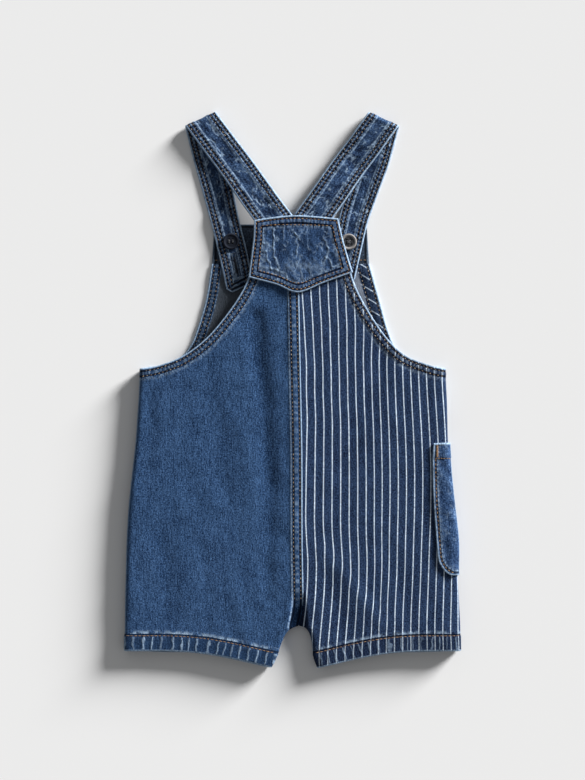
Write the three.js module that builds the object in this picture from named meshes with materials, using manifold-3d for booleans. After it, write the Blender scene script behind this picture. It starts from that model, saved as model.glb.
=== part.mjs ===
// A child's shortalls laid flat on their front, so that the back panels face up.
// Millimetres: X runs across the garment, Y up to the shoulder straps, Z up from the surface it lies on.
import * as THREE from "three";
import { mergeVertices } from "three/addons/utils/BufferGeometryUtils.js";
import Module from "manifold-3d";

// Sizes of the cloth and its turned edges
const DENIM = 1.2; // wall of a panel
const STRAP_WALL = 1.6; // a strap is folded double
const SEAM_GAP = 0.3; // between pieces that meet or lie on each other
const BAND_RISE = 0.5; // a turned hem or lapped seam stands this proud
const ARMHOLE_HEM = 7;
const CENTRE_LAP = 10; // width of the lapped centre back seam
const POCKET_HEM = 12;

// How the flat garment lies
const SEAM_HEIGHT = 5.2; // side seams and inseams run half way up the fold
const ROLL = 8; // how far in from a seam the cloth curves
const ROLL_ARC = 10.4; // length of cloth in that curve
const HEM_ROW = 0.385; // share of the leg that its turned hem takes
const LEG_TOP = -172; // side fold level with the crotch
const HEM_BOW = 4.8; // the leg hem bows up between its seams
const FRONT_HEM_PEEK = 1.1; // the front hem shows this much below the back one
const ARMHOLE_BLEND = 0.15; // share of the armhole over which the side fold opens
const ARMHOLE_DROOP = 0.45; // how far the free armhole edge rolls down
const CROTCH_BLEND = 0.17; // share of the centre seam over which the crotch dips

// Side folds from the leg hem up to the underarm
const SIDES = [
  { y: -203.2, left: -131.2, right: 131.3 },
  { y: -184, left: -131.0, right: 131.0 },
  { y: -165, left: -130.8, right: 130.0 },
  { y: -144, left: -130.3, right: 128.8 },
  { y: -118, left: -129.6, right: 128.7 },
  { y: -93, left: -128.2, right: 126.1 },
  { y: -70, left: -125.9, right: 123.6 },
  { y: -42, left: -122.8, right: 121.5 },
  { y: -10, left: -120.5, right: 120.7 },
  { y: 16.3, left: -119.1, right: 119.3 },
];

// Height of the back over the surface, from the hems to the straps
const LOFT = [
  { y: -217, height: 9.6 },
  { y: -184, height: 10.6 },
  { y: -150, height: 11.0 },
  { y: -60, height: 11.0 },
  { y: 16, height: 10.4 },
  { y: 60, height: 9.6 },
  { y: 90, height: 8.7 },
  { y: 137, height: 8.2 },
];

// Inseams from the hem up to the crotch
const INSEAMS = [
  { leftX: -16.4, leftY: -216.3, rightX: 19.4, rightY: -216.6 },
  { leftX: -11.3, leftY: -205.4, rightX: 16.1, rightY: -206.9 },
  { leftX: -7.9, leftY: -196.4, rightX: 14.6, rightY: -195.8 },
  { leftX: -4.8, leftY: -190.0, rightX: 12.6, rightY: -189.2 },
  { leftX: -0.8, leftY: -186.4, rightX: 9.4, rightY: -185.6 },
  { leftX: 5.1, leftY: -184.1, rightX: 5.1, rightY: -184.1 },
];

// Centre seams from the crotch up to the yoke
const CENTRE = [
  { y: -184.1, back: 5.1, front: 5.1 },
  { y: -172.4, back: 7.9, front: 4.2 },
  { y: -156, back: 8.2, front: 3.5 },
  { y: -117, back: 7.6, front: 2.6 },
  { y: -47, back: 6.6, front: 1.4 },
  { y: 4.7, back: 5.5, front: 0.4 },
  { y: 42.9, back: 5.0, front: -0.4 },
  { y: 99.1, back: 4.4, front: -1.2 },
  { y: 115, back: 4.3, front: -1.4 },
];

// Back armholes from the underarm up to the yoke
const BACK_ARMHOLES = [
  { leftX: -119.1, leftY: 16.3, rightX: 119.3, rightY: 16.3 },
  { leftX: -104.5, leftY: 19.0, rightX: 107.5, rightY: 19.1 },
  { leftX: -85.6, leftY: 26.5, rightX: 87.6, rightY: 27.1 },
  { leftX: -66.8, leftY: 40.6, rightX: 72.9, rightY: 41.1 },
  { leftX: -49.9, leftY: 60.5, rightX: 60.0, rightY: 60.0 },
  { leftX: -37.6, leftY: 79.7, rightX: 49.3, rightY: 79.7 },
  { leftX: -29.6, leftY: 99.8, rightX: 42.6, rightY: 99.8 },
  { leftX: -28.0, leftY: 113.5, rightX: 38.6, rightY: 113.5 },
];

// Front armholes from the underarm up to the bib
const FRONT_ARMHOLES = [
  { leftX: -119.1, leftY: 16.3, rightX: 119.3, rightY: 16.3 },
  { leftX: -103.4, leftY: 18.3, rightX: 105.7, rightY: 18.3 },
  { leftX: -87.8, leftY: 25.4, rightX: 90.1, rightY: 24.6 },
  { leftX: -79.6, leftY: 34.3, rightX: 80.2, rightY: 33.0 },
  { leftX: -74.3, leftY: 46.8, rightX: 74.5, rightY: 46.0 },
  { leftX: -67.2, leftY: 71.0, rightX: 67.7, rightY: 70.0 },
  { leftX: -62.8, leftY: 98.3, rightX: 59.9, rightY: 98.3 },
];

// Largest soft troughs and ridges of the back, each along a straight run
const FOLDS = [
  { name: "beside the seam", x0: -24, y0: 56, x1: -12, y1: -76, width: 7, height: -2.0 },
  { name: "seat by the seam", x0: -12, y0: -76, x1: -14, y1: -160, width: 6, height: -1.4 },
  { name: "left underarm", x0: -68, y0: 18, x1: -50, y1: -80, width: 9, height: -0.8 },
  { name: "left leg", x0: -100, y0: -112, x1: -97, y1: -176, width: 9, height: -1.2 },
  { name: "left side", x0: -111, y0: 0, x1: -113, y1: -60, width: 6, height: -0.6 },
  { name: "right underarm", x0: 73, y0: 25, x1: 40, y1: -62, width: 9, height: -0.8 },
  { name: "right leg ridge", x0: 20, y0: -120, x1: 72, y1: -183, width: 6, height: 1.0 },
  { name: "right leg hollow", x0: 28, y0: -150, x1: 44, y1: -190, width: 9, height: -1.0 },
  { name: "seam ridge", x0: 4, y0: 90, x1: 6, y1: -110, width: 8, height: 0.7 },
];

// Side pocket: how much cloth reaches round from the side seam over the back and over the front
const POCKET_FRONT = 45;
const POCKET = [
  { y: -144.3, back: 6.5, front: 33 },
  { y: -142.8, back: 9.5, front: 39 },
  { y: -139, back: 13.2, front: 42.5 },
  { y: -132, back: 17.0, front: POCKET_FRONT },
  { y: -118, back: 18.5, front: POCKET_FRONT },
  { y: -99, back: 18.0, front: POCKET_FRONT },
  { y: -76, back: 16.8, front: POCKET_FRONT },
  { y: -54.4, back: 15.2, front: POCKET_FRONT },
  { y: -53.6, back: 15.1, front: POCKET_FRONT },
  { y: -41.6, back: 13.6, front: POCKET_FRONT },
];
const POCKET_LIFT = DENIM + SEAM_GAP; // the front panel lies on the pocket's hidden half
const LIFT_MARGIN = 1;
const LIFT_RAMP = 9;

// Bib seen from inside: its corners
const BIB = { topY: 129.2, bottomY: 98.7, topLeft: -60.8, topRight: 57.7, lowLeft: -62.8, lowRight: 59.7 };

// Shield patch: left and right edges from the bottom up, then bottom and top edges from left to right
const PATCH_SIDES = [
  { leftX: -33.9, leftY: 88.1, rightX: 46.6, rightY: 92.0 },
  { leftX: -31.5, leftY: 107.0, rightX: 43.4, rightY: 102.0 },
  { leftX: -30.0, leftY: 119.4, rightX: 39.1, rightY: 117.0 },
  { leftX: -29.6, leftY: 132.2, rightX: 35.3, rightY: 133.4 },
];
const PATCH_ENDS = [
  { lowX: -33.9, lowY: 88.1, topX: -29.6, topY: 132.2 },
  { lowX: -13, lowY: 82.6, topX: -13.7, topY: 134.6 },
  { lowX: 4.4, lowY: 76.4, topX: 2.5, topY: 135.9 },
  { lowX: 24, lowY: 83.8, topX: 19, topY: 135.0 },
  { lowX: 46.6, lowY: 92.0, topX: 35.3, topY: 133.4 },
];
const PATCH_WALL = 1.5;

// A strap folds over a small roll along the line from the middle of its shoulder fold
const STRAP_RADIUS = 3.3; // of the middle of the cloth round the roll
const STRAP_SAG = 2.2;
const STRAPS = {
  left: { foldX: -72.4, foldY: 211.9, alongX: 0.907, alongY: 0.42 },
  right: { foldX: 72.3, foldY: 211.6, alongX: 0.91, alongY: -0.415 },
};
const STRAP_LEFT_BACK = [
  { x: -11.8, y: 130.0, width: 26.4 },
  { x: -26.0, y: 149.2, width: 26.2 },
  { x: -42.0, y: 172.0, width: 25.8 },
  { x: -56.5, y: 191.2, width: 25.5 },
];
const STRAP_LEFT_FRONT = [
  { x: -66.4, y: 187.2, width: 24.6 },
  { x: -59.4, y: 159.9, width: 23.4 },
  { x: -51.9, y: 128.7, width: 21.6 },
  { x: -45.6, y: 103.0, width: 21.8 },
  { x: -40.7, y: 79.5, width: 21.6 },
];
const STRAP_RIGHT_BACK = [
  { x: 14.0, y: 132.2, width: 26.2 },
  { x: 27.4, y: 151.0, width: 26.0 },
  { x: 43.0, y: 173.4, width: 25.7 },
  { x: 57.2, y: 192.3, width: 25.5 },
];
const STRAP_RIGHT_FRONT = [
  { x: 64.6, y: 184.3, width: 24.6 },
  { x: 55.6, y: 157.6, width: 23.4 },
  { x: 48.4, y: 136.0, width: 22.6 },
  { x: 43.8, y: 116.0, width: 22.2 },
  { x: 37.4, y: 87.0, width: 22.0 },
];

// Buttons on the straps
const BUTTON = { radius: 6.4, thick: 2.4, rim: 1.5, dish: 0.7, hole: 0.75, holeStep: 1.45 };
const BUTTONS = [
  { name: "button_left", x: -48.1, y: 116.1, colour: 0x20242c },
  { name: "button_right", x: 43.9, y: 115.8, colour: 0x8d8a86 },
];

const COLOURS = { denim: 0x3c5a80, indigo: 0x27344c, inside: 0x26303f, strap: 0x3f5c82, pocket: 0x49679a };

// Places of the mesh lines: rows up a panel and columns across it
const LEG_ROWS = [0, 0.37, 0.41, 0.7];
const FRONT_MIDDLE = [1.17, 1.345, 1.43, 1.6, 1.8, 2]; // two lines by the pocket's inner edge
const BACK_ARMHOLE_ROWS = [2, 2.04, 2.09, 2.15, 2.24, 2.36, 2.48, 2.6, 2.72, 2.86, 3];
const FRONT_ARMHOLE_ROWS = [2, 2.04, 2.09, 2.15, 2.28, 2.44, 2.62, 2.8, 3];

const mix = (a, b, t) => a + (b - a) * t;
const clamp = (t) => Math.min(Math.max(t, 0), 1);
const ease = (t) => clamp(t) ** 2 * (3 - 2 * clamp(t));
const steps = (from, to, count) => Array.from({ length: count + 1 }, (_, i) => mix(from, to, i / count));

// Smooth curve through one column of a table, read at a value of its key column.
// With no key the rows count as evenly spaced from 0 to 1.
function read(rows, column, at, key = null) {
  const end = rows.length - 1;
  const keyOf = (i) => (key ? rows[i][key] : i / end);
  let i = 0;
  while (i < end - 1 && at > keyOf(i + 1)) i++;
  const slope = (j) => {
    const a = Math.max(j - 1, 0);
    const b = Math.min(j + 1, end);
    return (rows[b][column] - rows[a][column]) / (keyOf(b) - keyOf(a));
  };
  const span = keyOf(i + 1) - keyOf(i);
  const t = clamp((at - keyOf(i)) / span);
  const start = rows[i][column];
  const rise = rows[i + 1][column] - start;
  const blend = t * t * (3 - 2 * t);
  const bend = t * (1 - t) * ((1 - t) * slope(i) - t * slope(i + 1)) * span;
  return start + rise * blend + bend;
}

// Sum of the soft folds at a place: each is a bell across its straight run
function relief(x, y) {
  let total = 0;
  for (const fold of FOLDS) {
    const runX = fold.x1 - fold.x0;
    const runY = fold.y1 - fold.y0;
    const t = clamp(((x - fold.x0) * runX + (y - fold.y0) * runY) / (runX ** 2 + runY ** 2));
    const away = Math.hypot(x - fold.x0 - t * runX, y - fold.y0 - t * runY);
    total += fold.height * Math.exp(-((away / fold.width) ** 2));
  }
  return total;
}

const backHeight = (x, y) => read(LOFT, "height", y, "y") + relief(x, y);

// How far the cloth has dropped, 0 to 1, at a distance in from an edge that is folded by share
function drop(distance, share) {
  const lean = Math.sin((clamp(share) * Math.PI) / 2);
  const q = (1 - Math.min(distance / ROLL, 1)) * lean;
  return 1 - Math.sqrt(1 - q * q);
}

// Row r runs up a panel: 0 to 1 the leg, 1 to 2 the body, 2 to 3 beside the armhole
function sideEdge(side, armholes, r) {
  if (r > 2) return [read(armholes, side + "X", r - 2), read(armholes, side + "Y", r - 2)];
  const y = r < 1 ? mix(SIDES[0].y, LEG_TOP, r) : mix(LEG_TOP, armholes[0].leftY, r - 1);
  return [read(SIDES, side, y, "y"), y];
}

function seamEdge(side, face, armholes, r) {
  const half = side === "left" ? -SEAM_GAP / 2 : SEAM_GAP / 2;
  if (r < 1) return [read(INSEAMS, side + "X", r) + half, read(INSEAMS, side + "Y", r)];
  const y = r > 2 ? read(armholes, side + "Y", r - 2) : mix(CENTRE[0].y, armholes[0].leftY, r - 1);
  return [read(CENTRE, face, y, "y") + half, y];
}

// One of the four body panels. Column c runs across it: 0 to 1 the curve in from the side edge,
// 1 to 2 the middle, 2 to 3 the curve down to the seam edge.
class Panel {
  constructor(side, face) {
    this.side = side;
    this.face = face;
    this.armholes = face === "back" ? BACK_ARMHOLES : FRONT_ARMHOLES;
  }

  // Distances from the side edge and from the seam edge, with the ends of the row
  row(c, r) {
    const [x0, y0] = sideEdge(this.side, this.armholes, r);
    const [x1, y1] = seamEdge(this.side, this.face, this.armholes, r);
    const width = Math.hypot(x1 - x0, y1 - y0);
    const curl = (t) => ROLL * (1 - Math.cos((t * Math.PI) / 2));
    let fromSide = mix(ROLL, width - ROLL, c - 1);
    if (c < 1) fromSide = curl(c);
    if (c > 2) fromSide = width - curl(3 - c);
    return { x0, y0, x1, y1, width, fromSide, fromSeam: width - fromSide };
  }

  // Share of a full fold at the side edge and at the seam edge of a row
  folds(r) {
    const free = this.face === "back" ? ARMHOLE_DROOP * (1 - ease((r - 2.6) / 0.25)) : 0;
    const atSide = r > 2 ? mix(1, free, ease((r - 2) / ARMHOLE_BLEND)) : 1;
    const atSeam = r > 1 ? 1 - ease((r - 1) / CROTCH_BLEND) : 1;
    return { atSide, atSeam };
  }

  // The face of the cloth that looks away from the body
  point(c, r) {
    const { x0, y0, x1, y1, width, fromSide, fromSeam } = this.row(c, r);
    const along = fromSide / width;
    const x = mix(x0, x1, along);
    let bow = HEM_BOW * Math.sin(Math.PI * along) ** 1.2;
    if (this.face === "front") bow -= FRONT_HEM_PEEK * Math.sin(Math.PI * clamp(along / 0.55)) ** 2;
    const y = mix(y0, y1, along) + bow * (1 - Math.min(r, 1));
    const { atSide, atSeam } = this.folds(r);
    const fallen = clamp(drop(fromSide, atSide) + drop(fromSeam, atSeam));
    const seam = SEAM_HEIGHT + (this.face === "back" ? SEAM_GAP / 2 : -SEAM_GAP / 2);
    const flat = this.face === "back" ? backHeight(x, y) : this.lift(fromSide, r);
    return new THREE.Vector3(x, y, mix(flat, seam, fallen));
  }

  // The front panel rises over the hidden half of the pocket
  lift(fromSide, r) {
    if (this.side === "left" || r > 2) return 0;
    const y = mix(LEG_TOP, this.armholes[0].leftY, r - 1);
    const reach = POCKET_FRONT - ROLL_ARC + ROLL + LIFT_MARGIN + LIFT_RAMP;
    const fromBottom = y - POCKET[0].y + LIFT_MARGIN + LIFT_RAMP;
    const fromTop = POCKET.at(-1).y - y + LIFT_MARGIN + LIFT_RAMP;
    return POCKET_LIFT * [reach - fromSide, fromBottom, fromTop].reduce((all, d) => all * ease(d / LIFT_RAMP), 1);
  }

  // Unit vector out of the cloth, from small steps along and across it
  normal(c, r) {
    const tiny = 2e-3;
    const across = this.point(Math.min(c + tiny, 3), r).sub(this.point(Math.max(c - tiny, 0), r));
    const up = this.point(c, Math.min(r + tiny, 3)).sub(this.point(c, Math.max(r - tiny, 0)));
    const n = across.cross(up).normalize();
    const turned = (this.side === "right") !== (this.face === "front");
    return turned ? n.negate() : n;
  }

  // Extra thickness of the turned hems and of the lapped centre seam
  band(c, r) {
    const { fromSide, fromSeam } = this.row(c, r);
    const { atSeam } = this.folds(r);
    let rise = r < HEM_ROW || (r > 2.01 && fromSide < ARMHOLE_HEM) ? BAND_RISE : 0;
    const lapped = this.face === "back" && this.side === "left" && r > 1 && fromSeam < CENTRE_LAP;
    if (lapped) rise = Math.max(rise, BAND_RISE * (1 - Math.sin((atSeam * Math.PI) / 2)));
    return rise;
  }

  // A point moved out of the cloth by a distance
  moved(c, r, distance) {
    return this.point(c, r).addScaledVector(this.normal(c, r), distance);
  }

  // The back shows its hems outside, and the front keeps its outside flat on the surface
  geometry(columns, rows) {
    const proud = this.face === "back" ? 1 : 0;
    const outer = rows.map((r) => columns.map((c) => this.moved(c, r, proud * this.band(c, r))));
    const inner = rows.map((r) =>
      columns.map((c) => this.moved(c, r, -DENIM - (1 - proud) * this.band(c, r))),
    );
    return wallBetween(outer, inner);
  }
}

// Closes an outer and an inner grid of points into one wall with its four rims
function wallBetween(outer, inner) {
  const [lastRow, lastCol] = [outer.length - 1, outer[0].length - 1];
  const at = (layer, i, j) => (layer * (lastRow + 1) + i) * (lastCol + 1) + j;
  const faces = [];
  const quad = (a, b, c, d) => faces.push(a, b, c, a, c, d);
  for (let i = 0; i < lastRow; i++) {
    for (let j = 0; j < lastCol; j++) {
      quad(at(0, i, j), at(0, i, j + 1), at(0, i + 1, j + 1), at(0, i + 1, j));
      quad(at(1, i, j), at(1, i + 1, j), at(1, i + 1, j + 1), at(1, i, j + 1));
    }
    quad(at(0, i, 0), at(0, i + 1, 0), at(1, i + 1, 0), at(1, i, 0));
    quad(at(0, i + 1, lastCol), at(0, i, lastCol), at(1, i, lastCol), at(1, i + 1, lastCol));
  }
  for (let j = 0; j < lastCol; j++) {
    quad(at(0, 0, j + 1), at(0, 0, j), at(1, 0, j), at(1, 0, j + 1));
    quad(at(0, lastRow, j), at(0, lastRow, j + 1), at(1, lastRow, j + 1), at(1, lastRow, j));
  }
  const points = [...outer.flat(), ...inner.flat()];
  if (volumeOf(points, faces) < 0) faces.reverse();
  const geometry = new THREE.BufferGeometry().setFromPoints(points);
  geometry.setIndex(faces);
  geometry.computeVertexNormals();
  return geometry;
}

// Signed volume inside a list of triangles
function volumeOf(points, faces) {
  let six = 0;
  for (let i = 0; i < faces.length; i += 3) {
    const [a, b, c] = [points[faces[i]], points[faces[i + 1]], points[faces[i + 2]]];
    six += a.dot(b.clone().cross(c));
  }
  return six / 6;
}

// Cloth round the side fold at an arc from the side seam: over the back if positive, under the front if not
function pocketPoint(back, front, arc, r, distance) {
  const panel = arc < 0 ? front : back;
  const { width } = panel.row(1, r);
  const length = Math.abs(arc);
  const c = length < ROLL_ARC ? length / ROLL_ARC : 1 + (length - ROLL_ARC) / (width - 2 * ROLL);
  return panel.moved(c, r, distance);
}

// Row of the body whose side edge is at a height y
const bodyRow = (y) => 1 + (y - LEG_TOP) / (BACK_ARMHOLES[0].leftY - LEG_TOP);

// Heights where the front panel starts and ends its rise over the pocket
function pocketEnds() {
  const [bottom, top] = [POCKET[0].y, POCKET.at(-1).y];
  const far = LIFT_MARGIN + LIFT_RAMP;
  return [bottom - far, bottom - LIFT_MARGIN, top + LIFT_MARGIN, top + far];
}

function pocketGeometry(back, front) {
  const across = [...steps(-1, -0.3, 3), ...steps(-0.24, 0, 4), ...steps(0.14, 1, 5)];
  const grid = (distance, proud) =>
    POCKET.map(({ y, back: reachBack, front: reachFront }) => {
      const r = bodyRow(y);
      return across.map((share) => {
        const arc = share < 0 ? share * reachFront : share * reachBack;
        const hem = y > POCKET.at(-1).y - POCKET_HEM - 0.1 ? proud * ease(arc / 4) : 0;
        return pocketPoint(back, front, arc, r, distance + hem);
      });
    });
  return wallBetween(grid(SEAM_GAP + DENIM, BAND_RISE), grid(SEAM_GAP, 0));
}

// Flat inside of the bib on the surface
function bibGeometry() {
  const grid = (z) =>
    steps(0, 1, 3).map((v) =>
      steps(0, 1, 8).map((u) => {
        const left = mix(BIB.lowLeft, BIB.topLeft, v);
        const right = mix(BIB.lowRight, BIB.topRight, v);
        return new THREE.Vector3(mix(left, right, u), mix(BIB.bottomY, BIB.topY, v), z);
      }),
    );
  return wallBetween(grid(DENIM), grid(0));
}

// Shield patch: a sheet stretched between its four edges, lying on the back panels and the strap ends
function patchGeometry() {
  const plan = (u, v) => {
    const edge = (column) => {
      const side = (name, t) => read(PATCH_SIDES, name + column, t);
      const end = (name, t) => read(PATCH_ENDS, name + column, t);
      const ruled = mix(side("left", v), side("right", v), u) + mix(end("low", u), end("top", u), v);
      const corners = mix(mix(side("left", 0), side("left", 1), v), mix(side("right", 0), side("right", 1), v), u);
      return ruled - corners;
    };
    return [edge("X"), edge("Y")];
  };
  const grid = (above) =>
    steps(0, 1, 9).map((v) =>
      steps(0, 1, 12).map((u) => {
        const [x, y] = plan(u, v);
        return new THREE.Vector3(x, y, backHeight(x, y) + above);
      }),
    );
  const under = BAND_RISE + SEAM_GAP;
  return wallBetween(grid(under + PATCH_WALL), grid(under));
}

// A strap is a flat strip whose plan is unrolled at the shoulder, drawn, and rolled up again.
class Strap {
  constructor(side, backRows, frontRows) {
    const { foldX, foldY, alongX, alongY } = STRAPS[side];
    this.origin = new THREE.Vector2(foldX, foldY);
    this.along = new THREE.Vector2(alongX, alongY).normalize();
    this.out = new THREE.Vector2(-this.along.y, this.along.x);
    this.reach = STRAP_RADIUS + STRAP_WALL / 2;
    this.turn = Math.PI * STRAP_RADIUS;
    const spread = ({ x, y, width }, front) => {
      const from = new THREE.Vector2(x, y).sub(this.origin);
      const q = from.dot(this.out) + this.reach;
      return { p: from.dot(this.along), w: front ? this.turn - q : q, width };
    };
    const halves = [backRows.map((row) => spread(row, false)), frontRows.map((row) => spread(row, true))];
    this.rows = halves.flat();
    this.start = this.rows[0].w;
    this.end = this.rows.at(-1).w;
  }

  // Height of the middle of the cloth at a place of the plan, on the back leg and on the front leg
  backLevel(x, y, w) {
    const yoke = backHeight(x, y) + BAND_RISE - STRAP_WALL / 2;
    const roll = this.reach + STRAP_RADIUS;
    const t = clamp(w / (this.start + 16));
    const span = Math.sin(Math.PI * t) ** 2;
    return mix(roll, yoke, ease(t)) - STRAP_SAG * span;
  }

  frontLevel(y) {
    return STRAP_WALL / 2 + (DENIM + SEAM_GAP) * ease((BIB.topY + 13 - y) / 11);
  }

  // Point of the strip at w along it and a share across it, moved off its middle by a distance
  point(w, share, distance) {
    const width = read(this.rows, "width", w, "w") * this.endTaper(w);
    const p = read(this.rows, "p", w, "w") + width * (share - 0.5);
    const angle = clamp(w / this.turn) * Math.PI;
    const radius = STRAP_RADIUS + distance;
    let q = -this.reach + radius * Math.sin(angle);
    if (w < 0) q += w;
    if (w > this.turn) q -= w - this.turn;
    const plan = this.origin.clone().addScaledVector(this.along, p).addScaledVector(this.out, q);
    let z = this.reach + radius * Math.cos(angle);
    if (w < 0) z = this.backLevel(plan.x, plan.y, w) + distance;
    if (w > this.turn) z = this.frontLevel(plan.y) - distance;
    return new THREE.Vector3(plan.x, plan.y, z);
  }

  // The front end has its two corners cut off
  endTaper(w) {
    return 1 - 0.35 * clamp(1 - (this.end - w) / 4);
  }

  geometry() {
    const back = steps(this.start, 0, 12);
    const roll = steps(0, this.turn, 8).slice(1);
    const front = steps(this.turn, this.end, 15).slice(1, -1);
    const lengths = [...back, ...roll, ...front, this.end - 3, this.end];
    const grid = (distance) => lengths.map((w) => steps(0, 1, 4).map((u) => this.point(w, u, distance)));
    return wallBetween(grid(STRAP_WALL / 2), grid(-STRAP_WALL / 2));
  }
}

const wasm = await Module();
wasm.setup();

// A closed geometry as a solid that can be cut
function solidOf(geometry) {
  const bare = geometry.clone();
  bare.deleteAttribute("normal");
  bare.deleteAttribute("uv");
  const merged = mergeVertices(bare, 1e-4);
  const vertProperties = new Float32Array(merged.attributes.position.array);
  const triVerts = new Uint32Array(merged.index.array);
  return new wasm.Manifold(new wasm.Mesh({ numProp: 3, vertProperties, triVerts }));
}

function geometryOf(solid) {
  const mesh = solid.getMesh();
  const geometry = new THREE.BufferGeometry();
  geometry.setAttribute("position", new THREE.BufferAttribute(mesh.vertProperties, 3));
  geometry.setIndex(new THREE.BufferAttribute(mesh.triVerts, 1));
  geometry.computeVertexNormals();
  return geometry;
}

// Round button with a raised rim, a dished middle and four holes through it
function buttonGeometry() {
  const { radius, thick, rim, dish, hole, holeStep } = BUTTON;
  const profile = [
    [0, 0],
    [radius - 1.1, 0],
    [radius - 0.3, 0.45],
    [radius, thick / 2],
    [radius - 0.25, thick - 0.35],
    [radius - 0.75, thick],
    [radius - rim, thick - 0.2],
    [radius - rim - 0.6, thick - dish],
    [0, thick - dish],
  ].map(([r, z]) => new THREE.Vector2(r, z));
  let solid = solidOf(new THREE.LatheGeometry(profile, 24).rotateX(Math.PI / 2));
  for (const sx of [-1, 1]) {
    for (const sy of [-1, 1]) {
      const drill = new THREE.CylinderGeometry(hole, hole, 4 * thick, 8).rotateX(Math.PI / 2);
      drill.translate(sx * holeStep, sy * holeStep, 0);
      solid = solid.subtract(solidOf(drill));
    }
  }
  return geometryOf(solid);
}

function piece(name, geometry, color, roughness = 0.9) {
  const material = new THREE.MeshStandardMaterial({ color, roughness, metalness: 0 });
  const mesh = new THREE.Mesh(geometry, material);
  mesh.name = name;
  return mesh;
}

function buildPanels(garment) {
  const curve = steps(0, 1, 4);
  const backColumns = [...curve, ...steps(1, 2, 15).slice(1), ...steps(2, 3, 4).slice(1)];
  const frontColumns = [...curve, ...FRONT_MIDDLE, ...steps(2, 3, 4).slice(1)];
  const backRows = [...LEG_ROWS, ...steps(1, 2, 14).slice(0, -1), ...BACK_ARMHOLE_ROWS];
  const pocketRows = pocketEnds().map(bodyRow);
  const frontBody = [...steps(1, 2, 9).slice(0, -1), ...pocketRows].sort((a, b) => a - b);
  const frontRows = [...LEG_ROWS, ...frontBody, ...FRONT_ARMHOLE_ROWS];
  const panels = {};
  for (const side of ["left", "right"]) {
    panels["back_" + side] = new Panel(side, "back");
    panels["front_" + side] = new Panel(side, "front");
    const colour = side === "left" ? COLOURS.denim : COLOURS.indigo;
    garment.add(piece("back_" + side, panels["back_" + side].geometry(backColumns, backRows), colour));
    garment.add(piece("front_" + side, panels["front_" + side].geometry(frontColumns, frontRows), colour));
  }
  garment.add(piece("side_pocket", pocketGeometry(panels.back_right, panels.front_right), COLOURS.pocket));
}

function buildStraps(garment) {
  const left = new Strap("left", STRAP_LEFT_BACK, STRAP_LEFT_FRONT);
  const right = new Strap("right", STRAP_RIGHT_BACK, STRAP_RIGHT_FRONT);
  garment.add(piece("strap_left", left.geometry(), COLOURS.strap));
  garment.add(piece("strap_right", right.geometry(), COLOURS.strap));
}

function buildButtons(garment) {
  const strapTop = DENIM + SEAM_GAP + STRAP_WALL;
  for (const { name, x, y, colour } of BUTTONS) {
    const button = piece(name, buttonGeometry(), colour, 0.45);
    button.position.set(x, y, strapTop + SEAM_GAP);
    garment.add(button);
  }
}

const garment = new THREE.Group();
buildPanels(garment);
garment.add(piece("bib", bibGeometry(), COLOURS.inside));
garment.add(piece("back_patch", patchGeometry(), COLOURS.strap));
buildStraps(garment);
buildButtons(garment);

export default garment;
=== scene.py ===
"""Looks of a child's denim shortalls that lie flat on their front, back panels up.

Tables and lengths are in millimetres, as on a pattern. Meshes are written in metres.
"""
import logging
from dataclasses import dataclass, field
from enum import Enum

import bpy
import numpy as np
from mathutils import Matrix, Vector
from mathutils.bvhtree import BVHTree


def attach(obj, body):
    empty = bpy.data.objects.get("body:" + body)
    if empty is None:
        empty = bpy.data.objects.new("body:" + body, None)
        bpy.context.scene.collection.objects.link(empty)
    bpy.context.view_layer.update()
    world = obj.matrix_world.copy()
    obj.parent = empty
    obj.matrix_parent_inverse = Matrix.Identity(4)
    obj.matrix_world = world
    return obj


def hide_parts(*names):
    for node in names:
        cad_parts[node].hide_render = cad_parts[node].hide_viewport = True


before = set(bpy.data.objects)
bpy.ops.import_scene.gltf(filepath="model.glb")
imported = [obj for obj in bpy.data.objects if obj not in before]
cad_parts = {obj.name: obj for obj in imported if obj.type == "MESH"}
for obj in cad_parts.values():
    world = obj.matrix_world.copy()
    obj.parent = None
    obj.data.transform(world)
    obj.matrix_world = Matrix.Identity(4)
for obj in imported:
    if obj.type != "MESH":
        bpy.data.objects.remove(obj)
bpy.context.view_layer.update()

LOG = logging.getLogger("shortalls")
MM = 0.001
BODY = "root"
FAR = 60.0  # stands for the distance of a place that has no edge near it

Field = np.ndarray | float
Colour = tuple[float, float, float]
Marks = dict[str, np.ndarray]

# Sizes of the cloth and its turned edges
DENIM = 1.2  # wall of a panel
STRAP_WALL = 1.6  # a strap is folded double
PATCH_WALL = 1.5
SEAM_GAP = 0.3  # between pieces that meet or lie on each other
BAND_RISE = 0.5  # a turned hem or lapped seam stands this proud
ARMHOLE_HEM = 7.0
CENTRE_LAP = 8.8
LEG_HEM = 12.4
POCKET_HEM = 11.5

# Stitch rows, by their distance in from the edge
HEM_THREAD = 11.6
HEM_FURROW = 12.0
RIM_ROWS = (2.0, 5.9)
FACING_ROWS = (2.0, 8.6)
LAP_ROWS = (1.6, 6.7)
PATCH_ROWS = (1.7, 5.8)
STRAP_ROWS = (1.8, 4.9)
POCKET_ROW = 2.1
BIB_THREAD_Y = 101.6

# Distance from pucker to pucker along each sewn edge of a panel
PUCKERS = {"hem": 6.7, "rim": 3.3, "lap": 5.4, "side": 5.4}

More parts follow.
